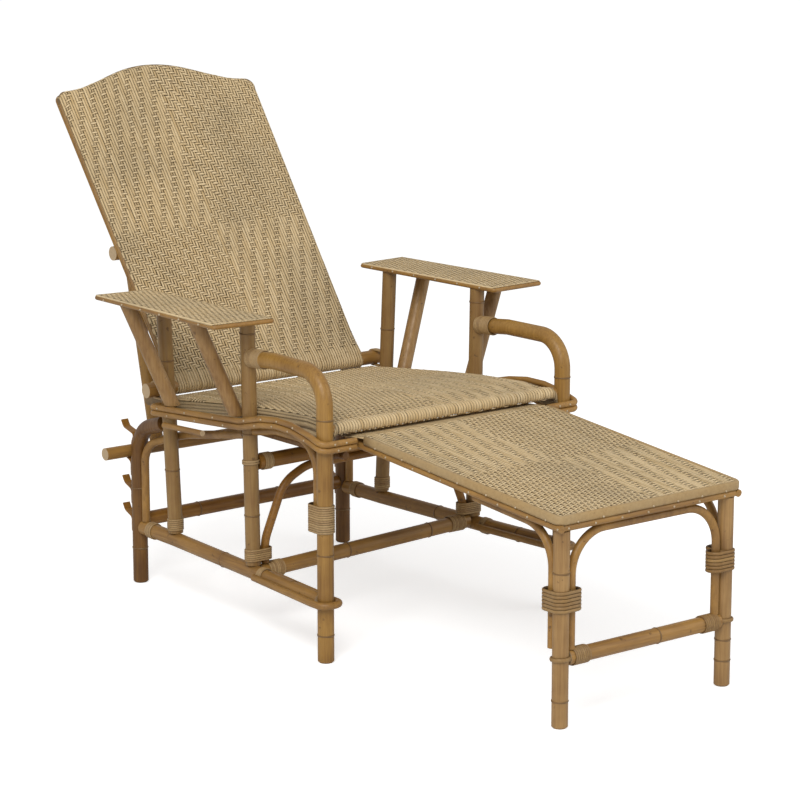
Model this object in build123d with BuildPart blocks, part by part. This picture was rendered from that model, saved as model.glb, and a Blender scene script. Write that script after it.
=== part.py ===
from build123d import *
import math
import os

# A rattan chaise longue: a pole frame with armrests, a reclining back that a prop
# bar holds in hooks on the rear legs, and a footrest that pulls out from under the seat.
# Millimetres. X runs across, Y runs from the footrest (-Y) to the back (+Y), Z is up.
# Positions are first worked out from the rear arm posts and then moved by `middle`,
# so that the whole chaise stands over the origin.

# Overall sizes
arm_span = 825
arm_height = 638
seat_run = 557
back_rise = 698
back_lean = 36.5
footrest_run = 544
slide_travel = 270

# Pole and cane radii
leg_r = 16
post_r = 15
cross_r = 15
brace_r = 8.5
slim_r = 8
rail_r = 6
loop_r = 7
hem_r = 4.5
edge_r = 10
low_rail_r = 7
prop_r = 14.5
bar_r = 13
cane_thick = 3
cane_wide = 16

# Gaps and small sizes
fit = 0.3
board_thick = 9
skin_thick = 12
back_skin_thick = 9
foot_bevel = 3
wrap_thick = 2.4
tiny = 0.01
leg_tuck = 5.3
roll_rise = 3
rail_taper = 1

# Shares of half the arm span
across_shares = {
    "rear_leg": 0.645, "rear_foot": 0.650, "front_foot": 0.681, "front_leg": 0.7176,
    "rear_head": 0.703, "front_head": 0.701, "arm_in_rear": 0.650, "arm_in_front": 0.6606,
    "arm_out_rear": 0.9624, "arm_out_front": 1.0, "strut_foot": 0.722, "strut_head": 0.921,
    "rail_stub": 0.582, "back_low": 0.5835, "back_high": 0.610,
    "pivot_end": 0.7467, "prop": 0.485, "bar_end": 0.80, "prop_cross": 0.588,
    "foot_wide_rear": 0.560, "foot_wide_front": 0.538, "foot_leg": 0.485, "arch_flat": 0.36,
    "arch_mid": 0.50, "slide_pole": 0.635, "runner_front": 0.626,
}

# Shares of the armrest height
up_shares = {
    "stretcher": 0.196, "cross_low": 0.1834, "cross_far": 0.2147, "rear_cross": 0.213,
    "middle_low": 0.533, "middle_far": 0.5423, "arch_knee": 0.514, "arch_end": 0.5705,
    "brace_knee": 0.470, "brace_mid": 0.5408, "brace_end": 0.619, "arm_bend": 0.878,
    "arm_mid": 0.8777, "arm_end": 0.8652, "front_brace_high": 0.6625,
    "front_brace_mid": 0.638, "front_brace_knee": 0.668, "front_brace_foot": 0.392,
    "rail_rear": 0.6223, "rail_mid": 0.6614, "rail_front": 0.6655, "pivot": 0.6771,
    "bar": 0.4365, "hook_pitch": 0.094, "wrap_low": 0.396, "wrap_high": 0.486,
    "foot_rear": 0.6818, "foot_drop": 0.0737, "foot_stretcher": 0.199,
    "cross_arch_foot": 0.28, "cross_arch_knee": 0.4546, "short_rail_drop": 0.0376,
}

# Shares of the run from the rear arm posts to the front legs
along_shares = {
    "rear_leg": 0.2513, "front_post": 0.5314, "pivot": 0.0754,
    "brace_mid": 0.0215, "arm_mid": 0.702, "strut_rear_foot": 0.0718, "strut_rear_head": 0.018,
    "strut_front_foot": 0.4811, "strut_front_head": 0.4506, "front_brace_high": 0.70,
    "front_brace_mid": 0.83, "rail_rear": 0.036, "rail_turn": 0.95, "arm_in_rear": 0.1436,
    "arm_out_rear": 0.1688, "arm_in_front": 0.6643, "arm_out_front": 0.6463,
    "foot_panel": 1.075, "foot_legs": 0.967, "short_rail_rear": 0.05, "short_rail_front": 0.30,
}

# The seat's side line, as shares of the run (negative towards the front) and of the height
seat_line_shares = [
    (0.208, 0.6317), (-0.111, 0.6661), (-0.3555, 0.6897), (-0.5925, 0.7100),
    (-0.849, 0.7226), (-0.972, 0.7150),
]

# The side rails' hump between the front arm post and the front leg
rail_hump = 25
rail_hump_shares = [(0.33, 0.72), (0.56, 1.0), (0.78, 0.98), (1.0, 0.66)]

# The back's top line, as shares of its half width and of its crest
crest_shares = [(0.0, 1.0), (0.28, 0.86), (0.53, 0.53), (0.76, 0.24), (0.92, 0.16)]
crest_rise = 62
corner_round = 18
arm_corner = 10

# Across positions
half_span = arm_span / 2


def across(name):
    """Give a distance from the middle plane by its share of the half span."""
    return half_span * across_shares[name]


def up(name):
    """Give a height by its share of the armrest height."""
    return arm_height * up_shares[name]


def along(name):
    """Give a distance along the seat by its share of the seat run."""
    return seat_run * along_shares[name]


leg_rear_y = along("rear_leg")
leg_front_y = -seat_run
post_front_y = -along("front_post")
pivot_y = along("pivot")
pivot_z = up("pivot")
lean_sin = math.sin(math.radians(back_lean))
lean_cos = math.cos(math.radians(back_lean))

# The back's own directions: up along it, and straight out of its rear face
back_front_n = -post_r + loop_r
rim_n = back_front_n + back_skin_thick + fit + rail_r
cross_n = rim_n + rail_r + cross_r
prop_up = back_rise * 0.4757


def on_back(x, rise, out):
    """Place a point on the back from its pivot: across, up along it and out behind."""
    y = pivot_y + rise * lean_sin + out * lean_cos
    z = pivot_z + rise * lean_cos - out * lean_sin
    return (x, y, z)


# The whole chaise is centred over the origin from its two farthest ends
rear_end = on_back(0, back_rise + crest_rise - rail_r, rim_n)[1] + rail_r
foot_drop = up("foot_drop")
foot_front_y = -along("foot_panel") - footrest_run
middle = (rear_end + foot_front_y) / 2


def spot(x, y, z):
    """Turn a point measured from the rear arm posts into the chaise's own frame."""
    return Vector(x, y - middle, z)


def lay_pole(points, radius, bend=0.0):
    """Lay a round pole along the points, with each corner rounded as far as it fits."""
    stops = [spot(*point) for point in points]
    with BuildLine() as run:
        here = stops[0]
        for before, corner, after in zip(stops, stops[1:], stops[2:]):
            away = (before - corner).normalized()
            onward = (after - corner).normalized()
            half_turn = math.radians(180 - away.get_angle(onward)) / 2
            room = min((before - corner).length, (after - corner).length) * 0.48
            reach = min(bend * math.tan(half_turn), room)
            true_bend = reach / math.tan(half_turn)
            depth = true_bend / math.cos(half_turn) - true_bend
            start = corner + away * reach
            end = corner + onward * reach
            inner = corner + (away + onward).normalized() * depth
            if (start - here).length > tiny:
                Line(here, start)
            ThreePointArc(start, inner, end)
            here = end
        Line(here, stops[-1])
    with BuildSketch(Plane(origin=run.line @ 0, z_dir=run.line % 0)) as face:
        Circle(radius)
    sweep(sections=face.sketch, path=run.line)


def lay_strip(points, wide, thick, bend):
    """Lay a flat split-cane strip along points in one upright plane, broad side across."""
    stops = [spot(*point) for point in points]
    with BuildLine() as run:
        here = stops[0]
        for before, corner, after in zip(stops, stops[1:], stops[2:]):
            away = (before - corner).normalized()
            onward = (after - corner).normalized()
            half_turn = math.radians(180 - away.get_angle(onward)) / 2
            room = min((before - corner).length, (after - corner).length) * 0.48
            reach = min(bend * math.tan(half_turn), room)
            true_bend = reach / math.tan(half_turn)
            depth = true_bend / math.cos(half_turn) - true_bend
            start = corner + away * reach
            end = corner + onward * reach
            inner = corner + (away + onward).normalized() * depth
            if (start - here).length > tiny:
                Line(here, start)
            ThreePointArc(start, inner, end)
            here = end
        Line(here, stops[-1])
    with BuildSketch(Plane(origin=run.line @ 0, x_dir=(1, 0, 0), z_dir=run.line % 0)) as face:
        Rectangle(wide, thick)
    sweep(sections=face.sketch, path=run.line)


def lay_ring(point, heading, inside, length):
    """Put a wound band round a pole, with its hole a little wider than the pole."""
    centre = spot(*point)
    with BuildSketch(Plane(origin=centre, z_dir=heading)) as face:
        Circle(inside + fit + wrap_thick)
        Circle(inside + fit, mode=Mode.SUBTRACT)
    extrude(to_extrude=face.sketch, amount=length / 2, both=True)


def trim(point, facing):
    """Cut what is laid so far and keep the side that the cut faces."""
    split(bisect_by=Plane(origin=spot(*point), z_dir=facing), keep=Keep.TOP)


def keep(builder, name):
    """Label a finished sub-part and write its file."""
    builder.part.label = name
    export_step(builder.part, "parts/" + name + ".step")


def between(first, second, share):
    """Give the value at a share of the way from the first to the second."""
    return first + (second - first) * share


def seat_top(y):
    """Give the seat's top height beside its edge at a distance along the chaise."""
    stops = [(a * seat_run, b * arm_height) for a, b in seat_line_shares]
    for (y1, z1), (y2, z2) in zip(stops, stops[1:]):
        if y >= y2:
            return between(z1, z2, (y1 - y) / (y1 - y2))
    return stops[-1][1]


def edge_half(y):
    """Give the seat edge pole's distance from the middle, just inside the arm posts."""
    rear_half = post_x("rear", seat_top(0)) - post_r - edge_r - 2 * fit
    front_half = post_x("front", seat_top(post_front_y)) - post_r - edge_r - 2 * fit
    return between(rear_half, front_half, y / post_front_y)


def foot_top(y):
    """Give the footrest's top height at a distance along the chaise."""
    rear_y = -along("foot_panel")
    return up("foot_rear") - foot_drop * (rear_y - y) / footrest_run


def foot_half(y):
    """Give the footrest's half width at a distance along the chaise."""
    rear_y = -along("foot_panel")
    share = (rear_y - y) / footrest_run
    return between(across("foot_wide_rear"), across("foot_wide_front"), share)


def arm_top(y):
    """Give the armrest's top height at a distance along the chaise."""
    rear_y = along("arm_out_rear")
    front_y = -along("arm_in_front")
    return arm_height - arm_drop * (y - front_y) / (rear_y - front_y)


def rail_height(y):
    """Give the height between the two side rails at a distance along the chaise."""
    rear_y = post_r + rail_r
    return between(up("rail_rear"), up("rail_mid"), (y - rear_y) / (post_front_y - rear_y))


def rail_side(y):
    """Give the side rails' distance from the middle at a distance along the chaise."""
    rear_y = post_r + rail_r
    outside = post_r + rail_r + 2 * fit
    rear_x = across("rear_head") + outside - rail_taper
    front_x = across("front_head") + outside
    return between(rear_x, front_x, (y - rear_y) / (post_front_y - rear_y))


def levels(sign):
    """Give the side stretcher's heights at its rear, its front post and its front."""
    lift = side_tilt * sign
    rear = stretcher_z + lift
    front = stretcher_z + 2 * lift
    return (rear, between(rear, front, along_shares["front_post"]), front)


def post_x(name, z):
    """Give a leaning arm post's distance from the middle at a height."""
    foot = across(name + "_foot")
    head = across(name + "_head")
    low = up("stretcher") + post_r
    return between(foot, head, (z - low) / (arm_height - board_thick - low))


arm_drop = 5
stretcher_z = up("stretcher")
stretcher_top = stretcher_z + post_r
side_tilt = 4
bar_y = leg_rear_y + leg_r + bar_r + fit
bar_z = up("bar")
hook_y = leg_rear_y + leg_r + fit + cane_thick / 2
stub_y = leg_front_y - leg_r - rail_r - fit
slide_pole_r = brace_r
slide_pole_y = stub_y + rail_r + fit + slide_pole_r
runner_r = slim_r
under_skin = skin_thick + fit + low_rail_r
slide_pole_z = foot_top(slide_pole_y) - under_skin
runner_z = slide_pole_z - slide_pole_r - fit - runner_r

foot_y = -along("foot_panel") - footrest_run * along_shares["foot_legs"]
foot_x = across("foot_leg")
rail_front_y = foot_front_y + low_rail_r
leg_top = foot_top(foot_y - cross_r) - skin_thick - 2 * low_rail_r - 2 * fit

os.makedirs("parts", exist_ok=True)

sides = {"left": -1, "right": 1}
rear_x = across("rear_leg")
front_x = across("front_leg")
foot_front_x = across("front_foot")
rail_out = post_r + rail_r + 2 * fit
brace_back_y = leg_front_y + leg_r + slim_r + fit

for side, sign in sides.items():
    # The far side of this chaise stands a little higher at its stretchers than the near one
    level_rear, level_post, level_front = levels(sign)

    # Rear leg, which bends forward over the side frame and meets the rear arm post
    arch_x = post_x("rear", up("arch_end"))
    with BuildPart() as rear_leg:
        lay_pole(
            [
                (sign * rear_x, leg_rear_y, 0),
                (sign * rear_x, leg_rear_y, up("arch_knee")),
                (sign * arch_x, post_r + leg_tuck + fit, up("arch_end")),
            ],
            leg_r,
            leg_r * 4.8,
        )
        foot_edges = rear_leg.edges().filter_by(GeomType.CIRCLE).sort_by(Axis.Z)[0]
        chamfer(foot_edges, length=foot_bevel)
    keep(rear_leg, "rear_leg_" + side)

    # Inner brace from the side stretcher up beside the leg and on to the front post
    brace_y = leg_rear_y - leg_r - brace_r - fit
    inside_x = post_x("rear", up("brace_mid")) - post_r - brace_r - 2 * fit
    with BuildPart() as rear_brace:
        lay_pole(
            [
                (sign * rear_x, brace_y, level_rear + post_r + fit),
                (sign * rear_x, brace_y, up("brace_knee")),
                (sign * inside_x, leg_r * 2.5, between(up("brace_knee"), up("brace_mid"), 0.6)),
                (sign * inside_x, -along("brace_mid") - post_r, up("brace_mid")),
                (
                    sign * post_x("front", up("brace_end")),
                    post_front_y + post_r + fit * 6,
                    up("brace_end"),
                ),
            ],
            brace_r,
            leg_r * 3.6,
        )
    keep(rear_brace, "rear_arch_brace_" + side)

    # Front leg, bent back at the top as the arm's front and meeting the front arm post
    with BuildPart() as front_leg:
        lay_pole(
            [
                (sign * front_x, leg_front_y, 0),
                (sign * front_x, leg_front_y, up("arm_bend")),
                (sign * between(front_x, across("front_head"), 0.6), -along("arm_mid"), up("arm_mid")),
                (
                    sign * post_x("front", up("arm_end")),
                    post_front_y - post_r - 2.6 - fit,
                    up("arm_end"),
                ),
            ],
            leg_r,
            leg_r * 3.9,
        )
        foot_edges = front_leg.edges().filter_by(GeomType.CIRCLE).sort_by(Axis.Z)[0]
        chamfer(foot_edges, length=foot_bevel)
    keep(front_leg, "front_leg_arm_" + side)

    # The two arm posts stand on the side stretcher and carry the armrest
    for name, post_y, level in (("rear", 0, level_rear), ("front", post_front_y, level_post)):
        past_top = arm_height + board_thick
        head_z = arm_top(post_y) - board_thick - fit
        with BuildPart() as arm_post:
            lay_pole(
                [
                    (sign * post_x(name, level), post_y, level),
                    (sign * post_x(name, past_top), post_y, past_top),
                ],
                post_r,
            )
            trim((0, post_y, level + post_r + fit), (0, 0, 1))
            trim((0, post_y, head_z - fit), (0, 0, -1))
        keep(arm_post, name + "_arm_post_" + side)

    # Side stretcher from the rear leg, under both posts, to the front leg
    with BuildPart() as side_stretcher:
        lay_pole(
            [
                (sign * rear_x, leg_rear_y - leg_r - fit, level_rear),
                (sign * across("rear_foot"), 0, level_rear),
                (sign * foot_front_x, post_front_y, level_post),
                (sign * (front_x - fit), leg_front_y + leg_r + fit * 2, level_front),
            ],
            post_r,
            seat_run * 0.2,
        )
    keep(side_stretcher, "side_stretcher_" + side)

    # Two thin rails, one on the other, round the posts' outside and the front leg
    round_x = front_x + leg_r + rail_r + fit
    with BuildPart() as seat_rails:
        for step in (1, -1):
            rise = step * (rail_r + fit / 4)
            rear_z = up("rail_rear") + rise
            mid_z = up("rail_mid") + rise
            front_z = up("rail_front") + rise
            lay_pole(
                [
                    (sign * (across("rear_head") - rail_out), post_r + rail_r + fit, rear_z),
                    (sign * rail_side(post_r + rail_r), post_r + rail_r + fit, rear_z),
                    (sign * rail_side(post_front_y), post_front_y, mid_z),
                    *[
                        (
                            sign * between(rail_side(post_front_y), round_x, share),
                            between(post_front_y, -along("rail_turn"), share),
                            up("rail_mid") + rail_hump * hump_share + rise,
                        )
                        for share, hump_share in rail_hump_shares
                    ],
                    (sign * round_x, stub_y, front_z),
                    (sign * across("rail_stub"), stub_y, front_z),
                ],
                rail_r,
                post_r,
            )
    keep(seat_rails, "seat_rails_" + side)

    # Seat edge pole, a round pole under the woven seat's side
    edge_points = [
        (sign * edge_half(a * seat_run), a * seat_run, b * arm_height - edge_r)
        for a, b in seat_line_shares
    ]
    with BuildPart() as seat_edge:
        lay_pole(edge_points, edge_r, seat_run)
    keep(seat_edge, "seat_edge_" + side)

    # Armrest board and the thin pole round its edge
    corners = [
        (across("arm_out_rear"), along("arm_out_rear")),
        (across("arm_in_rear"), along("arm_in_rear")),
        (across("arm_in_front"), -along("arm_in_front")),
        (across("arm_out_front"), -along("arm_out_front")),
    ]
    arm_tilt = math.degrees(math.atan(arm_drop / (along("arm_out_rear") + along("arm_in_front"))))
    arm_front_z = arm_top(-along("arm_in_front"))
    arm_plane = Plane(
        origin=spot(0, -along("arm_in_front"), arm_front_z - board_thick / 2),
    ).rotated((-arm_tilt, 0, 0))
    flat_corners = [(sign * x, y + along("arm_in_front")) for x, y in corners]
    with BuildPart() as armrest:
        with BuildSketch(arm_plane) as arm_board:
            with BuildLine():
                Polyline(*flat_corners, close=True)
            make_face()
            fillet(arm_board.vertices(), radius=arm_corner)
            offset(amount=-2 * hem_r - fit / 2)
        extrude(amount=board_thick / 2 - fit, both=True)
    keep(armrest, "armrest_board_" + side)
    with BuildPart() as arm_hem:
        with BuildSketch(arm_plane) as hem_line:
            with BuildLine():
                Polyline(*flat_corners, close=True)
            make_face()
            fillet(hem_line.vertices(), radius=arm_corner)
            offset(amount=-hem_r)
        hem_wire = hem_line.sketch.face().outer_wire()
        arm_hem.pending_faces.clear()
        with BuildSketch(Plane(origin=hem_wire @ 0, z_dir=hem_wire % 0)) as hem_face:
            Circle(hem_r)
        arm_hem.pending_faces.clear()
        sweep(sections=hem_face.sketch, path=hem_wire)
    keep(arm_hem, "armrest_rim_" + side)

    # Two struts that lean out from the rails to the armrest's outer side
    for name in ("rear", "front"):
        strut_y = -along("strut_" + name + "_foot")
        head_y = -along("strut_" + name + "_head")
        rail_top = rail_height(strut_y - post_r * 1.2) + 2 * rail_r + fit * 2
        strut_x = across("strut_foot")
        head_x = across("strut_head")
        head_z = arm_top(head_y) - board_thick - fit
        with BuildPart() as arm_strut:
            lay_pole(
                [
                    (
                        sign * (strut_x - (head_x - strut_x) * 0.1),
                        strut_y - (head_y - strut_y) * 0.1,
                        rail_top - (head_z - rail_top) * 0.1,
                    ),
                    (
                        sign * (head_x + (head_x - strut_x) * 0.1),
                        head_y + (head_y - strut_y) * 0.1,
                        head_z + (head_z - rail_top) * 0.1,
                    ),
                ],
                post_r,
            )
            trim((0, strut_y, rail_top), (0, 0, 1))
            trim((0, head_y, head_z - fit), (0, 0, -1))
        keep(arm_strut, name + "_arm_strut_" + side)

    # Footrest leg, lower side rail and side arch brace
    with BuildPart() as foot_leg:
        lay_pole([(sign * foot_x, foot_y, 0), (sign * foot_x, foot_y, leg_top)], cross_r)
        foot_edges = foot_leg.edges().filter_by(GeomType.CIRCLE).sort_by(Axis.Z)[0]
        chamfer(foot_edges, length=foot_bevel)
    keep(foot_leg, "footrest_leg_" + side)

    with BuildPart() as low_rail:
        lay_pole(
            [
                (
                    sign * (foot_half(slide_pole_y) - low_rail_r),
                    slide_pole_y - slide_pole_r - 2 * fit,
                    foot_top(slide_pole_y - slide_pole_r - 2 * fit) - under_skin,
                ),
                (
                    sign * (foot_half(rail_front_y) - low_rail_r),
                    rail_front_y - low_rail_r,
                    foot_top(foot_front_y) - under_skin,
                ),
            ],
            low_rail_r,
        )
    keep(low_rail, "footrest_rail_" + side)

# Thin poles looped round the front legs, with both ends beside the side stretchers
loop_reach = leg_r + loop_r + fit
beside = post_r + loop_r + fit
loop_rear_y = post_front_y - post_r * 2.4
loop_share = (loop_rear_y - post_front_y) / (leg_front_y + leg_r - post_front_y)
loop_x = between(foot_front_x, front_x, loop_share)
with BuildPart() as stretcher_loops:
    for sign in (-1, 1):
        level_post, level_front = levels(sign)[1:]
        lay_pole(
            [
                (sign * (loop_x - beside - fit), loop_rear_y, level_post),
                (sign * (front_x - loop_reach), leg_front_y + leg_r, level_front),
                (sign * (front_x - loop_reach), leg_front_y - loop_reach, level_front),
                (sign * (front_x + loop_reach), leg_front_y - loop_reach, level_front),
                (sign * (front_x + loop_reach), leg_front_y + leg_r, level_front),
                (sign * (loop_x + beside + fit), loop_rear_y, level_post),
            ],
            loop_r,
            loop_reach,
        )
keep(stretcher_loops, "front_stretcher_loops")

# Front braces from the front posts, under the rails and down behind the front legs
with BuildPart() as front_braces:
    for sign in (-1, 1):
        lay_pole(
            [
                (
                    sign * post_x("front", up("front_brace_mid")),
                    post_front_y - post_r - slim_r * 0.2 - fit,
                    up("front_brace_mid"),
                ),
                (sign * across("front_head"), -along("front_brace_high"), up("front_brace_high")),
                (sign * front_x, brace_back_y, up("front_brace_knee")),
                (sign * front_x, brace_back_y, up("front_brace_foot")),
            ],
            slim_r,
            leg_r * 4,
        )
keep(front_braces, "front_braces")

# Hidden runners under the seat that the footrest's rear cross pole slides on
runner_rear_x = post_x("front", runner_z) - post_r - runner_r - fit
runner_front_x = across("runner_front")
runner_end_y = post_front_y + post_r * 3
with BuildPart() as runners:
    for sign in (-1, 1):
        lay_pole(
            [
                (sign * runner_rear_x, runner_end_y, runner_z),
                (sign * runner_rear_x, post_front_y - post_r, runner_z),
                (sign * runner_front_x, leg_front_y - leg_r + fit, runner_z),
            ],
            runner_r,
            seat_run,
        )
        with BuildSketch(
            Plane(origin=spot(sign * runner_front_x, leg_front_y, runner_z), z_dir=(sign, 0, 0))
        ) as peg_face:
            Circle(rail_r)
        extrude(to_extrude=peg_face.sketch, amount=front_x - leg_r - fit - runner_front_x)
keep(runners, "footrest_runners")

# Short poles under the rails between the posts
short_z = up("rail_rear") - up("short_rail_drop")
short_rear_y = -along("short_rail_rear")
short_front_y = -along("short_rail_front")
with BuildPart() as short_rails:
    for sign in (-1, 1):
        lay_pole(
            [
                (sign * rail_side(short_rear_y), short_rear_y, short_z),
                (sign * rail_side(short_front_y), short_front_y, short_z + post_r * 0.5),
            ],
            rail_r,
        )
keep(short_rails, "short_under_rails")

# The rear leg's bend, to lay the top hook's root along it
leg_bend = leg_r * 4.8
arch_end_y = post_r + leg_tuck + fit
arch_angle = math.atan2(up("arch_end") - up("arch_knee"), leg_rear_y - arch_end_y)
bend_low_z = up("arch_knee") - leg_bend * math.tan((math.pi / 2 - arch_angle) / 2)


def leg_back(z):
    """Give where the rear leg's rear face stands at a height."""
    if z <= bend_low_z:
        return leg_rear_y + leg_r
    rise = z - bend_low_z
    return leg_rear_y - leg_bend + math.sqrt((leg_bend + leg_r) ** 2 - rise**2)


# Four split-cane hooks for the prop bar on each rear leg's rear face
root_gap = fit + cane_thick / 2
with BuildPart() as hooks:
    for sign in (-1, 1):
        for step in range(4):
            crotch_z = bar_z - bar_r - fit * 3 - cane_thick + up("hook_pitch") * (1 - step)
            low_z = crotch_z - 2.1 * cane_wide
            root_z = crotch_z - 1.2 * cane_wide
            high_z = crotch_z - 0.2 * cane_wide
            lay_strip(
                [
                    (sign * rear_x, leg_back(low_z) + root_gap, low_z),
                    (sign * rear_x, leg_back(root_z) + root_gap * 1.4, root_z),
                    (sign * rear_x, leg_back(high_z) + root_gap, high_z),
                    (sign * rear_x, hook_y + 1.65 * cane_wide, crotch_z + 0.42 * cane_wide),
                    (sign * rear_x, hook_y + 2.15 * cane_wide, crotch_z + 1.25 * cane_wide),
                ],
                cane_wide,
                cane_thick,
                cane_wide * 0.8,
            )
keep(hooks, "prop_hooks")

# Cane straps that hold the back's pivot pole behind the rear posts
strap_x = post_x("rear", pivot_z)
strap_r = post_r + fit + cane_thick / 2
with BuildPart() as pivot_loops:
    for sign in (-1, 1):
        lay_strip(
            [
                (sign * strap_x, post_r + fit + tiny, pivot_z + strap_r),
                (sign * strap_x, pivot_y + strap_r, pivot_z + strap_r),
                (sign * strap_x, pivot_y + strap_r, pivot_z - strap_r),
                (sign * strap_x, post_r + fit + tiny, pivot_z - strap_r),
            ],
            cane_wide * 0.75,
            cane_thick,
            strap_r,
        )
keep(pivot_loops, "pivot_loops")

# Poles that cross between the two sides of the frame
with BuildPart() as rear_cross:
    cross_half = across("rear_leg") - leg_r - fit
    lay_pole(
        [
            (-cross_half, leg_rear_y, up("rear_cross") - side_tilt / 2),
            (cross_half, leg_rear_y, up("rear_cross") + side_tilt / 2),
        ],
        cross_r,
    )
keep(rear_cross, "rear_cross_stretcher")

low_half_cross = foot_front_x - post_r - fit * 2
with BuildPart() as front_cross:
    lay_pole(
        [
            (-low_half_cross, post_front_y, up("cross_low")),
            (low_half_cross, post_front_y, up("cross_far")),
        ],
        post_r,
    )
keep(front_cross, "front_cross_stretcher")

mid_half_cross = post_x("front", up("middle_low")) - post_r - fit * 2
with BuildPart() as middle_cross:
    lay_pole(
        [
            (-mid_half_cross, post_front_y, up("middle_low")),
            (mid_half_cross, post_front_y, up("middle_far")),
        ],
        cross_r,
    )
keep(middle_cross, "middle_cross_pole")

arch_half = foot_front_x - post_r - brace_r - 2 * wrap_thick
flat_half = across("arch_flat")
mid_half = across("arch_mid")
arch_low = up("cross_arch_foot")
arch_gap = cross_r + brace_r + fit * 2
flat_share = (1 - flat_half / mid_half_cross) / 2
flat_low_z = between(up("middle_low"), up("middle_far"), flat_share) - arch_gap
flat_far_z = between(up("middle_low"), up("middle_far"), 1 - flat_share) - arch_gap
with BuildPart() as cross_arch:
    lay_pole(
        [
            (-arch_half, post_front_y, up("cross_low") + post_r + fit * 5),
            (-arch_half, post_front_y, arch_low),
            (-mid_half, post_front_y, up("cross_arch_knee")),
            (-flat_half, post_front_y, flat_low_z),
            (flat_half, post_front_y, flat_far_z),
            (mid_half, post_front_y, up("cross_arch_knee")),
            (arch_half, post_front_y, arch_low),
            (arch_half, post_front_y, up("cross_far") + post_r + fit * 2),
        ],
        brace_r,
        leg_r * 5,
    )
keep(cross_arch, "cross_arch")

# Wound cane bands where the frame's poles meet
low_way = (2 * low_half_cross, 0, up("cross_far") - up("cross_low"))
mid_way = (2 * mid_half_cross, 0, up("middle_far") - up("middle_low"))
with BuildPart() as frame_wraps:
    for sign in (-1, 1):
        level_rear, level_post, level_front = levels(sign)
        low_x = low_half_cross - cane_wide * 3
        mid_x = mid_half_cross - cane_wide
        low_share = (1 + sign * low_x / low_half_cross) / 2
        mid_share = (1 + sign * mid_x / mid_half_cross) / 2
        low_z = between(up("cross_low"), up("cross_far"), low_share)
        mid_z = between(up("middle_low"), up("middle_far"), mid_share)
        lay_ring((sign * low_x, post_front_y, low_z), low_way, post_r, cane_wide * 1.5)
        lay_ring((sign * mid_x, post_front_y, mid_z), mid_way, cross_r, cane_wide)
        rear_z = level_rear + post_r + cane_wide
        front_z = max(level_post, low_z) + post_r + cane_wide
        lay_ring(
            (sign * post_x("rear", rear_z), 0, rear_z), (0, 0, 1), post_r + fit, cane_wide * 1.2
        )
        lay_ring(
            (sign * post_x("front", front_z), post_front_y, front_z),
            (0, 0, 1),
            post_r + fit,
            cane_wide * 1.2,
        )
        lay_ring(
            (sign * rear_x, leg_rear_y - leg_r * 3.4, level_rear), (0, 1, 0), post_r + 3 * fit, cane_wide
        )
        with BuildSketch(
            Plane(
                origin=spot(sign * front_x, (leg_front_y + brace_back_y) / 2, up("wrap_low")),
                z_dir=(0, 0, 1),
            )
        ) as wrap_face:
            SlotOverall(
                brace_back_y - leg_front_y + 2 * (leg_r + fit + wrap_thick),
                2 * (leg_r + fit + wrap_thick),
                rotation=90,
            )
            SlotOverall(
                brace_back_y - leg_front_y + 2 * (leg_r + fit),
                2 * (leg_r + fit),
                rotation=90,
                mode=Mode.SUBTRACT,
            )
        extrude(to_extrude=wrap_face.sketch, amount=up("wrap_high") - up("wrap_low"))
        for share in (0.36, 0.9):
            tie_y = between(short_rear_y, short_front_y, share)
            tie_x = rail_side(tie_y)
            short_low = between(short_z, short_z + post_r * 0.5, share) - rail_r
            rails_high = rail_height(tie_y) + 2 * rail_r + fit
            tie_z = (short_low + rails_high) / 2
            tie_tall = rails_high - short_low + 6 * fit
            with BuildSketch(
                Plane(origin=spot(sign * tie_x, tie_y, tie_z), x_dir=(0, 0, 1), z_dir=(0, 1, 0))
            ) as tie_face:
                SlotOverall(tie_tall + 2 * wrap_thick, 2 * (rail_r + 3 * fit + wrap_thick))
                SlotOverall(tie_tall, 2 * (rail_r + 3 * fit), mode=Mode.SUBTRACT)
            extrude(to_extrude=tie_face.sketch, amount=cane_wide / 4, both=True)
keep(frame_wraps, "frame_wraps")

# Seat: poles across its rear and front, and the woven panel between the edge poles
seat_rear_y = seat_line_shares[0][0] * seat_run
seat_front_y = seat_line_shares[-1][0] * seat_run
between_edges = edge_half(seat_rear_y) - edge_r - fit
with BuildPart() as seat_rear_pole:
    rear_pole_y = pivot_y - post_r - edge_r + leg_tuck
    rear_pole_z = seat_top(rear_pole_y) - edge_r
    lay_pole(
        [(-between_edges, rear_pole_y, rear_pole_z), (between_edges, rear_pole_y, rear_pole_z)],
        edge_r,
    )
keep(seat_rear_pole, "seat_rear_pole")

with BuildPart() as seat_front_pole:
    front_pole_y = seat_front_y - edge_r - fit
    front_half = front_x - leg_r - fit
    front_pole_z = foot_top(front_pole_y - edge_r) + edge_r + roll_rise
    lay_pole(
        [(-front_half, front_pole_y, front_pole_z), (front_half, front_pole_y, front_pole_z)],
        edge_r,
    )
keep(seat_front_pole, "seat_front_pole")

panel_points = [
    (y - middle, seat_top(y) - fit)
    for y in [rear_pole_y - edge_r - fit]
    + [a * seat_run for a, b in seat_line_shares if a * seat_run < rear_pole_y - 2 * edge_r]
]
lower_points = [(y, z - skin_thick + rail_taper) for y, z in reversed(panel_points)]
with BuildPart() as seat_panel:
    with BuildSketch(Plane(origin=(-between_edges, 0, 0), x_dir=(0, 1, 0), z_dir=(1, 0, 0))):
        with BuildLine():
            Polyline(*panel_points, *lower_points, close=True)
        make_face()
    extrude(amount=2 * between_edges)
keep(seat_panel, "seat_panel")

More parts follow.
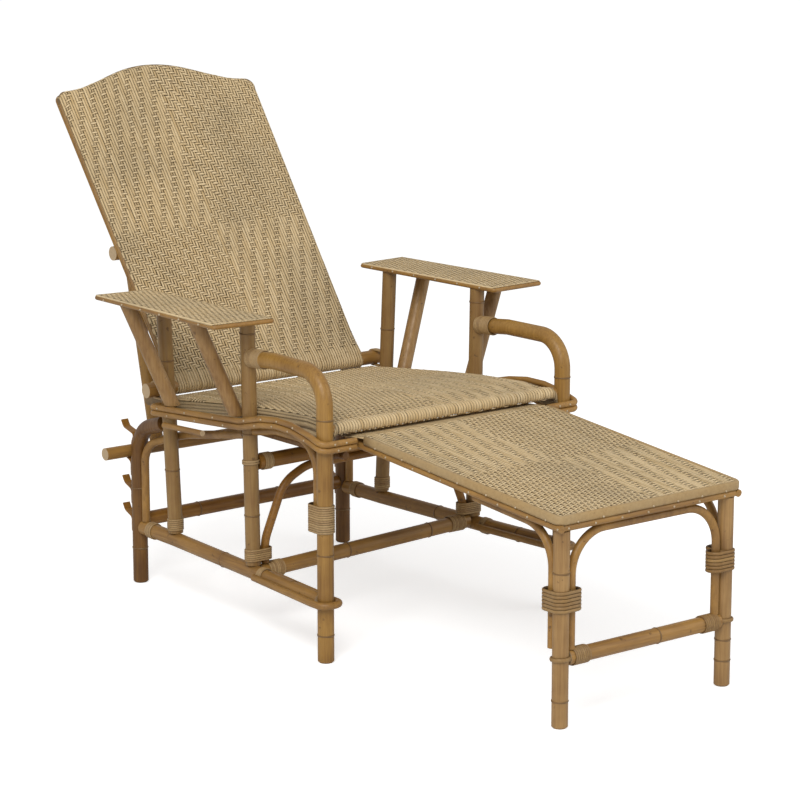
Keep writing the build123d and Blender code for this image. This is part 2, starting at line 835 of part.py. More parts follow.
# Back: pivot pole, woven panel, rim pole, and the pole that the prop hangs from
with BuildPart() as pivot_pole:
    lay_pole(
        [(-across("pivot_end"), pivot_y, pivot_z), (across("pivot_end"), pivot_y, pivot_z)], post_r
    )
keep(pivot_pole, "back_pivot_pole")

low_half = across("back_low")
high_half = across("back_high")
panel_low = math.sqrt((post_r + fit) ** 2 - 0) + fit
shoulder = back_rise - corner_round
crest_line = [(s * high_half, back_rise + r * crest_rise) for s, r in crest_shares]
right_top = crest_line
left_top = [(-x, y) for x, y in reversed(crest_line)]
back_plane = Plane(
    origin=spot(*on_back(0, 0, back_front_n)),
    x_dir=(1, 0, 0),
    z_dir=(0, -lean_cos, lean_sin),
)
with BuildPart() as back_panel:
    with BuildSketch(back_plane):
        with BuildLine():
            Polyline(
                (-high_half, shoulder),
                (-low_half, panel_low),
                (low_half, panel_low),
                (high_half, shoulder),
            )
            crest = Spline(*left_top, *right_top[1:])
            RadiusArc(crest @ 1, (high_half, shoulder), corner_round * 1.15)
            RadiusArc((-high_half, shoulder), crest @ 0, corner_round * 1.15)
        make_face()
    extrude(amount=-back_skin_thick)
keep(back_panel, "back_panel")

rim_plane = Plane(
    origin=spot(*on_back(0, 0, rim_n)),
    x_dir=(1, 0, 0),
    z_dir=(0, -lean_cos, lean_sin),
)
rim_low = post_r + rail_r
for side, sign in sides.items():
    with BuildPart() as stile:
        lay_pole(
            [
                on_back(sign * (low_half - rail_r), rim_low, rim_n),
                on_back(sign * (high_half - rail_r), shoulder - fit, rim_n),
            ],
            rail_r,
        )
    keep(stile, "back_stile_" + side)

with BuildPart() as top_rail:
    end_x = high_half - rail_r
    scale_in = end_x / high_half
    rim_right = [(x * scale_in, y - rail_r) for x, y in crest_line]
    rim_left = [(-x, y) for x, y in reversed(rim_right)]
    shoulder_top = crest_line[-1][1] - rail_r
    rim_stops = [(-end_x, shoulder), (-end_x, shoulder_top), *rim_left, *rim_right[1:]]
    rim_stops += [(end_x, shoulder_top), (end_x, shoulder)]
    lay_pole([on_back(x, rise, rim_n) for x, rise in rim_stops], rail_r, corner_round * 8)
keep(top_rail, "back_top_rail")

cross_x = across("prop_cross")
with BuildPart() as prop_cross:
    lay_pole([on_back(-cross_x, prop_up, cross_n), on_back(cross_x, prop_up, cross_n)], cross_r)
keep(prop_cross, "back_cross_pole")

# Prop: two struts that hang from the back's cross pole, the bar, and their straps
prop_top = on_back(0, prop_up, cross_n)
prop_vector = Vector(0, bar_y - prop_top[1], bar_z - prop_top[2])
prop_length = prop_vector.length
prop_way = prop_vector.normalized()
strut_from = cross_r + fit * 2
strut_to = prop_length - bar_r - fit
for side, sign in sides.items():
    prop_x = across("prop")
    with BuildPart() as prop_strut:
        lay_pole(
            [
                (
                    sign * prop_x,
                    prop_top[1] + prop_way.Y * strut_from,
                    prop_top[2] + prop_way.Z * strut_from,
                ),
                (
                    sign * prop_x,
                    prop_top[1] + prop_way.Y * strut_to,
                    prop_top[2] + prop_way.Z * strut_to,
                ),
            ],
            prop_r,
        )
    keep(prop_strut, "prop_strut_" + side)

with BuildPart() as prop_bar:
    lay_pole([(-across("bar_end"), bar_y, bar_z), (across("bar_end"), bar_y, bar_z)], bar_r)
keep(prop_bar, "prop_bar")

wrap_r = cross_r + fit + cane_thick / 2
side_way = Vector(0, -prop_way.Z, prop_way.Y)
with BuildPart() as prop_loops:
    for sign in (-1, 1):
        tail = strut_from + cane_wide * 1.6
        over = prop_r + fit + cane_thick / 2
        corners = []
        for out, down in ((over, tail), (over, -wrap_r), (-over, -wrap_r), (-over, tail)):
            corners.append(
                (
                    sign * across("prop"),
                    prop_top[1] + prop_way.Y * down + side_way.Y * max(min(out, over), -over) * wrap_r / over,
                    prop_top[2] + prop_way.Z * down + side_way.Z * max(min(out, over), -over) * wrap_r / over,
                )
            )
        lay_strip(corners, cane_wide, cane_thick, wrap_r - tiny)
keep(prop_loops, "prop_loops")

# Footrest: woven panel, front rail, the hidden rear cross pole and the leg frame
with BuildPart() as foot_panel:
    panel_rear_y = stub_y - rail_r - low_rail_r
    rear_z = foot_top(panel_rear_y)
    front_z = foot_top(foot_front_y)
    panel_tilt = math.degrees(math.atan(foot_drop / footrest_run))
    slope_run = (panel_rear_y - foot_front_y) / math.cos(math.radians(panel_tilt))
    with BuildSketch(
        Plane(origin=spot(0, foot_front_y, front_z)).rotated((panel_tilt, 0, 0))
    ) as foot_shape:
        with BuildLine():
            Polyline(
                (-foot_half(foot_front_y), 0),
                (foot_half(foot_front_y), 0),
                (foot_half(panel_rear_y), slope_run),
                (-foot_half(panel_rear_y), slope_run),
                close=True,
            )
        make_face()
        front_corners = foot_shape.vertices().sort_by(Axis.Y)[0:2]
        fillet(front_corners, radius=corner_round)
    extrude(amount=-skin_thick)
keep(foot_panel, "footrest_panel")

with BuildPart() as foot_front_rail:
    front_half = foot_half(rail_front_y) - 2 * low_rail_r - fit
    front_rail_z = foot_top(rail_front_y) - under_skin
    lay_pole(
        [
            (-front_half, foot_front_y + low_rail_r, front_rail_z),
            (front_half, foot_front_y + low_rail_r, front_rail_z),
        ],
        low_rail_r,
    )
keep(foot_front_rail, "footrest_front_rail")

with BuildPart() as slide_pole:
    slide_half = across("slide_pole")
    lay_pole(
        [(-slide_half, slide_pole_y, slide_pole_z), (slide_half, slide_pole_y, slide_pole_z)],
        slide_pole_r,
    )
keep(slide_pole, "footrest_slide_pole")

with BuildPart() as foot_stretcher:
    stretcher_half = foot_x - cross_r - fit
    lay_pole(
        [
            (-stretcher_half, foot_y, up("foot_stretcher")),
            (stretcher_half, foot_y, up("foot_stretcher")),
        ],
        prop_r,
    )
keep(foot_stretcher, "footrest_stretcher")

with BuildPart() as front_arch:
    arch_foot_x = foot_x - cross_r - slim_r - fit
    arch_top_z = leg_top - slim_r - fit
    lay_pole(
        [
            (-arch_foot_x, foot_y, up("foot_stretcher") + prop_r + fit),
            (-arch_foot_x, foot_y, arch_top_z),
            (arch_foot_x, foot_y, arch_top_z),
            (arch_foot_x, foot_y, up("foot_stretcher") + prop_r + fit),
        ],
        slim_r,
        footrest_run * 0.14,
    )
keep(front_arch, "footrest_front_arch")

arch_y = foot_y + cross_r + slim_r + fit
arch_start_y = foot_y + footrest_run * 0.44
arch_rise = 2 * low_rail_r + skin_thick + slim_r + 4 * fit
with BuildPart() as side_arches:
    for sign in (-1, 1):
        lay_pole(
            [
                (sign * foot_x, arch_start_y, foot_top(arch_start_y) - arch_rise),
                (sign * foot_x, arch_y, foot_top(arch_y) - arch_rise),
                (sign * foot_x, arch_y, up("foot_stretcher") + cross_r + fit),
            ],
            slim_r,
            footrest_run * 0.14,
        )
keep(side_arches, "footrest_side_arches")

with BuildPart() as foot_wraps:
    for sign in (-1, 1):
        lay_ring(
            (sign * (stretcher_half - 2 * slim_r - cane_wide), foot_y, up("foot_stretcher")),
            (1, 0, 0),
            prop_r,
            cane_wide,
        )
keep(foot_wraps, "footrest_wraps")
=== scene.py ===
import math

import bpy
import numpy as np
from mathutils import Matrix, Vector


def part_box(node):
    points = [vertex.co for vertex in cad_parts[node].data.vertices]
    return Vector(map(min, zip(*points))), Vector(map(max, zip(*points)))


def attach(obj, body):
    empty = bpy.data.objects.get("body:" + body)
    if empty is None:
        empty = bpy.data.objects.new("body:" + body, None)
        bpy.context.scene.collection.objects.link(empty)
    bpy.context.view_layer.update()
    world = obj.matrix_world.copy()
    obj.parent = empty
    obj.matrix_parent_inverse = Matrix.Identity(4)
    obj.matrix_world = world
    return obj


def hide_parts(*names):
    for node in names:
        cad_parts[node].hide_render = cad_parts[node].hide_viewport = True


bl_info = {
    "name": "Rattan Chaise Longue",
    "version": (1, 0, 0),
    "blender": (4, 5, 0),
    "location": "3D View > Sidebar > Chaise",
    "description": "Weaves the cane, winds the bindings and finishes the poles of a rattan chaise",
    "category": "Object",
}

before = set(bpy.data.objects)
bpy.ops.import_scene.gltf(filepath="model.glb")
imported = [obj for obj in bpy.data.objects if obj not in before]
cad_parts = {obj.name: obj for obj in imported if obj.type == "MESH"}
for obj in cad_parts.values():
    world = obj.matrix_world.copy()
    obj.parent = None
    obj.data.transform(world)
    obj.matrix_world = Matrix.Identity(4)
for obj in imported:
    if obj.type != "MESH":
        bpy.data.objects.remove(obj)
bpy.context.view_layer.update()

# Sizes of the CAD model in metres. SHIFT moves distances along the chaise into its frame
PIVOT = [(a + b) / 2 for a, b in zip(*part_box("back_pivot_pole"))]
SHIFT = PIVOT[1] - 0.041998
LEAN = math.radians(36.5)
LEAN_SIN = math.sin(LEAN)
LEAN_COS = math.cos(LEAN)
BACK_RISE = 0.698
BACK_HALF_LOW = 0.2407
BACK_HALF_HIGH = 0.2516
BACK_FRONT = -0.008
ROLL = 0.0161
# The crest's height over the corners, where up the back it starts to lift the weave, and
# its outline as shares of the half width and of that height
CREST = 0.062
CREST_FROM = 0.42
CREST_X = [0.0, 0.28, 0.53, 0.76, 0.92, 1.0]
CREST_Z = [1.0, 0.86, 0.53, 0.24, 0.16, -0.02]
# The seat's top line from rear to front, and the line between its rails from front to rear
SEAT_LINE = [
    (0.1159, 0.40302),
    (-0.0618, 0.42497),
    (-0.1980, 0.44003),
    (-0.3300, 0.45298),
    (-0.4729, 0.46102),
    (-0.5414, 0.45617),
]
SEAT_HALF = 0.2757
RAIL_Y = [-0.5293, -0.4781, -0.4266, -0.3731, -0.296, 0.021]
RAIL_Z = [0.4385, 0.4465, 0.4470, 0.4400, 0.4220, 0.3970]
FOOT_REAR_Y = -0.598775
FOOT_LENGTH = 0.544
FOOT_FRONT_Y = FOOT_REAR_Y - FOOT_LENGTH
FOOT_DROP = 0.047021
FOOT_HALF_REAR = 0.231
FOOT_HALF_FRONT = 0.221925
FOOT_LEG_X = 0.200063
FOOT_LEG_Y = FOOT_REAR_Y - FOOT_LENGTH * 0.967
ARM_REAR_Y = 0.0786
ARM_FRONT_Y = -0.3686
# The arm posts' distances from the middle at these heights, as foot and head
POST_FOOT_Z = 0.155
POST_HEAD_Z = 0.629
POST_X = {"rear": (0.26879, 0.28999), "front": (0.28116, 0.28916)}
POST_FRONT_Y = -0.29599
LEG_FRONT_X = 0.29601
LEG_FRONT_Y = -0.557
LEG_REAR_X = 0.26606
LEG_REAR_Y = 0.139974
STRETCHER_Z = 0.125
# Inner radii of the bindings and of the node rings on the two sizes of pole
POST_WRAP = 0.0153
LEG_WRAP = 0.0163
POST_RING = 0.01505
LEG_RING = 0.01605

# How far strands rise over the sheet's middle, and half their thickness
THIN = (0.0009, 0.0008)
FULL = (0.0010, 0.0008)
FINE = (0.0008, 0.0007)

ACROSS = (1, 0, 0)
ALONG = (0, 1, 0)
UP = (0, 0, 1)

# How much finer a pole's streaks are along X, Y and Z
GRAIN_ACROSS = (9, 230, 230)
GRAIN_ALONG = (230, 9, 230)
GRAIN_UP = (230, 230, 9)
SAWN = (0.50, 0.37, 0.22)

# The finish of the CAD pieces by how their names start; the other poles are plain upright ones
FINISHES = {
    "pole_across": (
        "back_pivot_pole", "back_cross_pole", "prop_bar", "footrest_stretcher",
        "front_cross_stretcher", "footrest_front_rail", "seat_front_pole",
        "footrest_slide_pole",
    ),
    "pole_along": ("side_stretcher", "short_under_rails"),
    "pole_looped": ("seat_rails", "footrest_rail", "front_stretcher_loops", "armrest_rim"),
    # The panels under the weave take the dark core: painted shade that shows through the gaps
    "painted_shade_core": (
        "back_panel", "seat_panel", "footrest_panel", "armrest_board", "seat_edge",
        "seat_rear_pole",
    ),
    "pole_shade": ("rear_cross_stretcher", "middle_cross_pole", "cross_arch", "prop_hooks"),
    # The rear legs and the runners under the seat take a darker copy of the pole finish: painted
    # shade
    "pole_rear_shaded": ("rear_leg", "footrest_runners"),
    "pole_post": ("front_arm_post", "rear_arm_post"),
    "pole_strut": ("front_arm_strut", "rear_arm_strut", "footrest_leg"),
    "pole_bent": (
        "rear_arch_brace", "footrest_front_arch", "footrest_side_arches", "front_braces",
        "back_top_rail",
    ),
    "cane_wrap": ("pivot_loops", "prop_loops", "frame_wraps", "footrest_wraps"),
}


def foot_top(y):
    """Give the footrest's top height at a distance along the chaise."""
    return 0.43499 - FOOT_DROP * (FOOT_REAR_Y - y) / FOOT_LENGTH


def foot_half(y):
    """Give the footrest's half width at a distance along the chaise."""
    return FOOT_HALF_REAR - (FOOT_HALF_REAR - FOOT_HALF_FRONT) * (FOOT_REAR_Y - y) / FOOT_LENGTH


def deselect():
    """Leave nothing selected, in object mode."""
    if bpy.context.mode != "OBJECT":
        bpy.ops.object.mode_set(mode="OBJECT")
    bpy.ops.object.select_all(action="DESELECT")


def add_object(name, data):
    """Put a new object in the scene."""
    made = bpy.data.objects.new(name, data)
    bpy.context.collection.objects.link(made)
    return made


# Shader node groups


def fill(node, **values):
    """Set a node's inputs by their names, with an underscore for each space."""
    for name, value in values.items():
        node.inputs[name.replace("_", " ")].default_value = value


def math_node(tree, kind, first, second=None, clamp=False):
    """Add a math node fed by sockets or plain numbers and give its output."""
    node = tree.nodes.new("ShaderNodeMath")
    node.operation = kind
    node.use_clamp = clamp
    for slot, value in zip(node.inputs, (first, second)):
        if value is None:
            continue
        if isinstance(value, (int, float)):
            slot.default_value = value
        else:
            tree.links.new(value, slot)
    return node.outputs[0]


def mix_colour(tree, share, first, second):
    """Add a colour mix fed by sockets or plain colours and give its output."""
    node = tree.nodes.new("ShaderNodeMix")
    node.data_type = "RGBA"
    for name, value in ((0, share), (6, first), (7, second)):
        slot = node.inputs[name]
        if isinstance(value, (int, float)):
            slot.default_value = value
        elif isinstance(value, tuple):
            slot.default_value = (*value, 1.0)
        else:
            tree.links.new(value, slot)
    return node.outputs[2]


def noise(tree, vector, scale, detail=3.0, rough=0.55):
    """Add a noise texture and give its factor."""
    node = tree.nodes.new("ShaderNodeTexNoise")
    fill(node, Scale=scale, Detail=detail, Roughness=rough)
    tree.links.new(vector, node.inputs["Vector"])
    return node.outputs["Fac"]


def remap(tree, value, low, high, out_low=0.0, out_high=1.0):
    """Stretch a value from one range to another and clamp it."""
    node = tree.nodes.new("ShaderNodeMapRange")
    fill(node, From_Min=low, From_Max=high, To_Min=out_low, To_Max=out_high)
    tree.links.new(value, node.inputs["Value"])
    return node.outputs["Result"]


def start_group(name, inputs):
    """Start a node group with its inputs and the three outputs that every finish has."""
    group = bpy.data.node_groups.new(name, "ShaderNodeTree")
    outputs = (("Color", "Color", None), ("Roughness", "Float", None), ("Height", "Float", None))
    for side, sockets in (("INPUT", inputs), ("OUTPUT", outputs)):
        for title, kind, value in sockets:
            made = group.interface.new_socket(
                name=title, in_out=side, socket_type="NodeSocket" + kind
            )
            if value is not None:
                made.default_value = value
    take = group.nodes.new("NodeGroupInput")
    give = group.nodes.new("NodeGroupOutput")
    return group, take.outputs, give.inputs


def pole_group():
    """Build the rattan pole's effect: long streaks, blotches, scars and worn spots."""
    group, take, give = start_group(
        "Rattan pole",
        (
            ("Streak Vector", "Vector", None),
            ("Spot Vector", "Vector", None),
            ("Light", "Color", (0.45, 0.28, 0.12, 1)),
            ("Dark", "Color", (0.2, 0.1, 0.04, 1)),
        ),
    )
    streaks = noise(group, take["Streak Vector"], 1.0, 4.0, 0.6)
    fine = noise(group, take["Streak Vector"], 3.1, 3.0, 0.6)
    blotch = noise(group, take["Spot Vector"], 9.0, 3.0, 0.6)
    scars = noise(group, take["Spot Vector"], 75.0, 2.0, 0.5)
    share = math_node(
        group,
        "ADD",
        remap(group, streaks, 0.35, 0.65, 0.0, 0.45),
        remap(group, blotch, 0.35, 0.68, 0.0, 0.55),
    )
    base = mix_colour(group, share, take["Light"], take["Dark"])
    fine_mask = remap(group, fine, 0.55, 0.75, 0.0, 0.5)
    base = mix_colour(group, fine_mask, base, take["Dark"])
    scar_mask = remap(group, scars, 0.68, 0.74, 0.0, 0.55)
    base = mix_colour(group, scar_mask, base, (0.07, 0.035, 0.015))
    fibres = math_node(group, "MULTIPLY", fine, 0.6)
    group.links.new(base, give["Color"])
    group.links.new(remap(group, streaks, 0.3, 0.7, 0.34, 0.52), give["Roughness"])
    group.links.new(math_node(group, "SUBTRACT", fibres, scar_mask), give["Height"])


def cane_group():
    """Build the split cane's effect: a tone for each strand, fibres and greyed age."""
    group, take, give = start_group(
        "Split cane",
        (
            ("Fibre Vector", "Vector", None),
            ("Spot Vector", "Vector", None),
            ("Tone", "Float", 0.5),
            ("Depth", "Float", 0.0),
            ("Light", "Color", (0.6, 0.45, 0.25, 1)),
            ("Dark", "Color", (0.4, 0.27, 0.12, 1)),
        ),
    )
    fibre = noise(group, take["Fibre Vector"], 1.0, 3.0, 0.6)
    age = noise(group, take["Spot Vector"], 5.5, 3.0, 0.6)
    freckle = noise(group, take["Spot Vector"], 110.0, 2.0, 0.6)
    share = math_node(
        group,
        "ADD",
        math_node(group, "MULTIPLY", take["Tone"], 0.62),
        remap(group, fibre, 0.35, 0.7, 0.0, 0.38),
        True,
    )
    base = mix_colour(group, share, take["Light"], take["Dark"])
    for value, low, high, most, colour in (
        (age, 0.42, 0.72, 0.4, (0.36, 0.29, 0.18)),
        (freckle, 0.66, 0.76, 0.6, (0.2, 0.12, 0.05)),
        # painted shade: Depth darkens the cane towards near black in gaps and creases
        (take["Depth"], 0.15, 1.0, 0.82, (0.055, 0.028, 0.009)),
    ):
        base = mix_colour(group, remap(group, value, low, high, 0.0, most), base, colour)
    group.links.new(base, give["Color"])
    group.links.new(remap(group, fibre, 0.3, 0.7, 0.42, 0.6), give["Roughness"])
    group.links.new(fibre, give["Height"])


def start_material(name):
    """Start a material with its shader, output and Object coordinates."""
    made = bpy.data.materials.new(name)
    made.use_nodes = True
    tree = made.node_tree
    tree.nodes.clear()
    shader = tree.nodes.new("ShaderNodeBsdfPrincipled")
    out = tree.nodes.new("ShaderNodeOutputMaterial")
    tree.links.new(shader.outputs[0], out.inputs[0])
    place = tree.nodes.new("ShaderNodeTexCoord")
    return tree, shader, place


def stretch(tree, vector, scale):
    """Scale a pattern differently along each axis."""
    node = tree.nodes.new("ShaderNodeMapping")
    fill(node, Scale=scale)
    tree.links.new(vector, node.inputs["Vector"])
    return node.outputs[0]


def add_bump(tree, shader, height, strength, distance):
    """Give a shader its fine relief."""
    bump = tree.nodes.new("ShaderNodeBump")
    fill(bump, Strength=strength, Distance=distance)
    tree.links.new(height, bump.inputs["Height"])
    tree.links.new(bump.outputs[0], shader.inputs["Normal"])


def use_group(tree, title, place, light, dark):
    """Put one of the node groups in a material, with its two colours."""
    group = tree.nodes.new("ShaderNodeGroup")
    group.node_tree = bpy.data.node_groups[title]
    fill(group, Light=(*light, 1), Dark=(*dark, 1))
    tree.links.new(place.outputs["Object"], group.inputs["Spot Vector"])
    return group


def dress(tree, shader, group, colour, relief, gloss):
    """Lead a colour and a node group's roughness and relief into the shader."""
    tree.links.new(colour, shader.inputs["Base Color"])
    tree.links.new(group.outputs["Roughness"], shader.inputs["Roughness"])
    add_bump(tree, shader, group.outputs["Height"], *relief)
    fill(shader, Specular_IOR_Level=gloss)


def pole_material(name, scale, light, dark, sawn):
    """Make a varnished rattan pole's finish with its grain along one axis."""
    tree, shader, place = start_material(name)
    group = use_group(tree, "Rattan pole", place, light, dark)
    tree.links.new(stretch(tree, place.outputs["Object"], scale), group.inputs["Streak Vector"])
    colour = group.outputs["Color"]
    if sawn:
        # The sawn ends of the level poles are paler than their skin
        parts = tree.nodes.new("ShaderNodeSeparateXYZ")
        tree.links.new(place.outputs["Normal"], parts.inputs[0])
        facing = math_node(tree, "ABSOLUTE", parts.outputs[int(np.argmin(scale))])
        colour = mix_colour(tree, remap(tree, facing, 0.93, 0.97, 0.0, 0.9), colour, SAWN)
    dress(tree, shader, group, colour, (0.25, 0.0008), 0.42)


def cane_material(name, light, dark, toned):
    """Make the split cane's finish, with its fibres along the strands where they have UVs."""
    tree, shader, place = start_material(name)
    group = use_group(tree, "Split cane", place, light, dark)
    for title, where in (("tone", "Tone"), ("depth", "Depth")):
        reader = tree.nodes.new("ShaderNodeAttribute")
        reader.attribute_name = title
        tree.links.new(reader.outputs["Fac"], group.inputs[where])
    if toned:
        fibre = stretch(tree, place.outputs["UV"], (9.0, 0.9, 1.0))
    else:
        fibre = stretch(tree, place.outputs["Object"], (160.0, 160.0, 160.0))
    tree.links.new(fibre, group.inputs["Fibre Vector"])
    dress(tree, shader, group, group.outputs["Color"], (0.2, 0.0005), 0.35)


def painted_shade_core_material():
    """Make the dark hidden layer behind the weave, with a faint woven relief."""
    tree, shader, place = start_material("painted_shade_core")
    grain = noise(tree, stretch(tree, place.outputs["Object"], (150, 60, 60)), 1.0, 3.0, 0.6)
    colour = mix_colour(tree, grain, (0.13, 0.08, 0.035), (0.26, 0.17, 0.08))
    tree.links.new(colour, shader.inputs["Base Color"])
    wave = tree.nodes.new("ShaderNodeTexWave")
    wave.bands_direction = "DIAGONAL"
    fill(wave, Scale=45.0)
    tree.links.new(place.outputs["Object"], wave.inputs["Vector"])
    add_bump(tree, shader, wave.outputs["Fac"], 0.5, 0.001)
    fill(shader, Roughness=0.7)


def nail_material():
    """Make the small bright nail heads."""
    tree, shader, place = start_material("nail")
    rust = noise(tree, place.outputs["Object"], 300.0)
    colour = mix_colour(tree, rust, (0.62, 0.52, 0.36), (0.35, 0.24, 0.13))
    tree.links.new(colour, shader.inputs["Base Color"])
    fill(shader, Metallic=0.4, Roughness=0.45)


# Woven sheets


def strands(at, along, widths, heights, dims, place, first, index_from, rng, thick):
    """Give the points, faces, tones, depths and UVs of one family of flat strands."""
    count = len(at)
    steps = len(along)
    side = np.array([-0.5, 0.0, 0.5, 0.0])
    ring = len(side)
    rise = np.array([0.0, thick, 0.0, -thick])
    dim, rim = dims
    # Strands wide enough to lie close together are flatter
    close = 0.88 * abs(np.median(np.diff(at)))
    body = np.where((widths > close) & first, 0.4, 1.0)
    a = at[:, None, None] + side[None, None, :] * widths[:, :, None]
    b = np.broadcast_to(along[None, :, None], (count, steps, ring))
    h = heights[:, :, None] + rise[None, None, :] * body[:, :, None]
    points = place(a, b, h) if first else place(b, a, h)
    index = np.arange(count * steps * ring).reshape(count, steps, ring) + index_from
    turn = np.roll(index, -1, axis=2)
    quads = np.stack(
        [index[:, :-1], turn[:, :-1], turn[:, 1:], index[:, 1:]], axis=-1
    ).reshape(-1, 4)
    caps = np.concatenate([index[:, 0, ::-1], index[:, -1, :]], axis=0)
    middle = points[0, 0].mean(axis=0)
    normal = np.cross(points[0, 0, 1] - points[0, 0, 0], points[0, 1, 1] - points[0, 0, 1])
    faces = np.concatenate([quads, caps])
    if np.dot(normal, (points[0, 0, 0] + points[0, 0, 1]) / 2 - middle) < 0:
        faces = faces[:, ::-1]
    own = rng.random(count)
    # A few strands are darker along all their length
    own = np.where(rng.random(count) < 0.06, 1.25, own)
    tone = own[:, None] * 0.7 + rng.random((count, steps)) * 0.3
    # Wefts are lighter where they ride over the warps: painted highlight
    if not first:
        tone = tone - 0.5 * (heights > 0)
    tones = np.repeat(tone[:, :, None], ring, axis=2).reshape(-1)
    # Depth darkens a strand where it passes under, by the table's dimming elsewhere, and along its
    # sides and underside: painted shade
    depth = np.where(heights < 0, 1.0, dim)
    depths = np.repeat(depth[:, :, None], ring, axis=2)
    depths[:, :, 0] = np.maximum(depths[:, :, 0], rim)
    depths[:, :, 2] = np.maximum(depths[:, :, 2], np.minimum(rim, 0.35))
    depths[:, :, 3] = 1.0
    uv = np.stack(
        [
            np.broadcast_to(at[:, None, None] * 37.0 + side, (count, steps, ring)),
            np.broadcast_to(along[None, :, None] * 60.0, (count, steps, ring)),
        ],
        axis=-1,
    ).reshape(-1, 2)
    return points.reshape(-1, 3), faces, tones, depths.reshape(-1), uv


def weave(name, body, us, vs, table, place, gauge, seed, plain=None):
    """Weave a sheet of flat strands from its tables of heights, widths and dimming."""
    rng = np.random.default_rng(seed)
    over, wide, dim, rim = table
    lift, thick = gauge
    pitch_u = abs(us[1] - us[0])
    pitch_v = abs(vs[1] - vs[0])
    high = np.where(over, lift, -lift)
    us_shaky = us + rng.normal(0, pitch_u * 0.035, len(us))
    vs_shaky = vs + rng.normal(0, pitch_v * 0.05, len(vs))
    warp_at = vs
    warp_high = high
    if plain is not None:
        # The stretch before the first weft, where the long strands lie alone
        bare = (len(us), len(plain))
        warp_at = np.concatenate([plain, vs])
        warp_high = np.concatenate([np.full(bare, 1e-5), high], axis=1)
        wide = np.concatenate([np.full(bare, 1.0), wide], axis=1)
        # The lone strands get no dimming, and their sides a little painted shade
        dim = np.concatenate([np.full(bare, 0.0), dim], axis=1)
        rim = np.concatenate([np.full(bare, 0.25), rim], axis=1)
    wide_u = pitch_u * wide * (1 + rng.normal(0, 0.05, len(us)))[:, None]
    wide_v = pitch_v * 0.86 * (1 + rng.normal(0, 0.06, (len(vs), len(us))))
    flat = np.zeros((len(vs), len(us)))
    sets = [
        strands(us_shaky, warp_at, wide_u, warp_high, (dim, rim), place, True, 0, rng, thick)
    ]
    start = len(sets[0][0])
    sets.append(
        strands(vs_shaky, us, wide_v, -high.T, (flat, flat), place, False, start, rng, thick)
    )
    points, faces, tones, depths, uvs = (np.concatenate(parts) for parts in zip(*sets))
    mesh = bpy.data.meshes.new(name)
    mesh.vertices.add(len(points))
    mesh.vertices.foreach_set("co", points.astype(np.float32).ravel())
    mesh.loops.add(faces.size)
    mesh.loops.foreach_set("vertex_index", faces.ravel().astype(np.int32))
    mesh.polygons.add(len(faces))
    mesh.polygons.foreach_set("loop_start", np.arange(0, faces.size, 4, dtype=np.int32))
    mesh.polygons.foreach_set("loop_total", np.full(len(faces), 4, dtype=np.int32))
    mesh.update(calc_edges=True)
    for title, values in (("tone", tones), ("depth", depths)):
        layer = mesh.attributes.new(title, "FLOAT", "POINT")
        layer.data.foreach_set("value", values.astype(np.float32))
    layer = mesh.uv_layers.new(name="strand")
    layer.data.foreach_set("uv", uvs[faces.ravel()].astype(np.float32).ravel())
    mesh.shade_smooth()
    finish_piece(add_object(name, mesh), body, "cane")


def pattern(ni, forward, middle_i, middle_j, low=False):
    """Give the heights, widths and dimming of the four mirrored fields of a panel.

    The rear left and front right fields show smooth bands with ladders between them, and
    the other two show rows of slots. The second index counts towards the front. A sheet
    that lies low in the view has its slots dimmed on one flank, where they would show.
    """
    i = np.arange(ni)[:, None]
    j = forward[None, :]
    drift = 5.5 if low else 3.3
    phase = (i + np.floor(j / drift).astype(int)) % 5
    bands = (phase < 3) | (j % 2 == 0)
    slots = ((j - 2 * i) % 5 if low else (j - i) % 5) < 3
    slit = ((j - 2 * i) % 5) < 2
    wobble = 1.5 * np.sin(j / 5.0)
    banded = (i + wobble < middle_i) == (j < middle_j)
    over = np.where(banded, bands, slots)
    ladder = 0.76 if low else 0.84
    wide = np.where(banded, np.where(phase < 3, 1.0, ladder), ladder)
    # Dimming and rim darken the ladders' rungs, the slots and the strands' sides: painted shade
    dim = np.where(banded & (phase > 2) & over, 0.5 if low else 0.2, 0.05)
    rim = np.where(banded & (phase < 3), 0.12, 0.3)
    if low:
        dim = np.where(~banded & slit, 0.36, dim)
        rim = np.where(~banded, np.where(slit, 0.9, 0.12), rim)
    return over, wide, dim, rim


def plain_part(table, where, deep=0.0):
    """Lay the strands side by side, smooth, where the mask says so."""
    over, wide, dim, rim = table
    return (
        np.where(where, True, over),
        np.where(where, 1.03, wide),
        np.where(where, deep, dim),
        np.where(where, max(deep, 0.25), rim),
    )


def path_frame(points):
    """Give a function from a length along a bent line to its place and outward normal."""
    line = np.array(points, dtype=float)
    seg = np.diff(line, axis=0)
    run = np.concatenate([[0], np.cumsum(np.linalg.norm(seg, axis=1))])
    tangents = seg / np.linalg.norm(seg, axis=1)[:, None]
    mids = (run[:-1] + run[1:]) / 2

    def at(s):
        a = np.interp(s, run, line[:, 0])
        b = np.interp(s, run, line[:, 1])
        ta = np.interp(s, mids, tangents[:, 0])
        tb = np.interp(s, mids, tangents[:, 1])
        size = np.hypot(ta, tb)
        return a, b, ta / size, tb / size

    return at, run[-1]


def centred(count, pitch):
    """Give evenly spaced places, as many on each side of the middle."""
    return (np.arange(count) - (count - 1) / 2) * pitch


def fold(past, edge, h, most):
    """Give how far a sheet reaches out and falls where it folds over a round edge."""
    turn = np.clip(past / edge, 0, most)
    fall = np.where(past > 0, edge - (edge + h) * np.cos(turn) + h, 0.0)
    return (edge + h) * np.sin(turn), fall


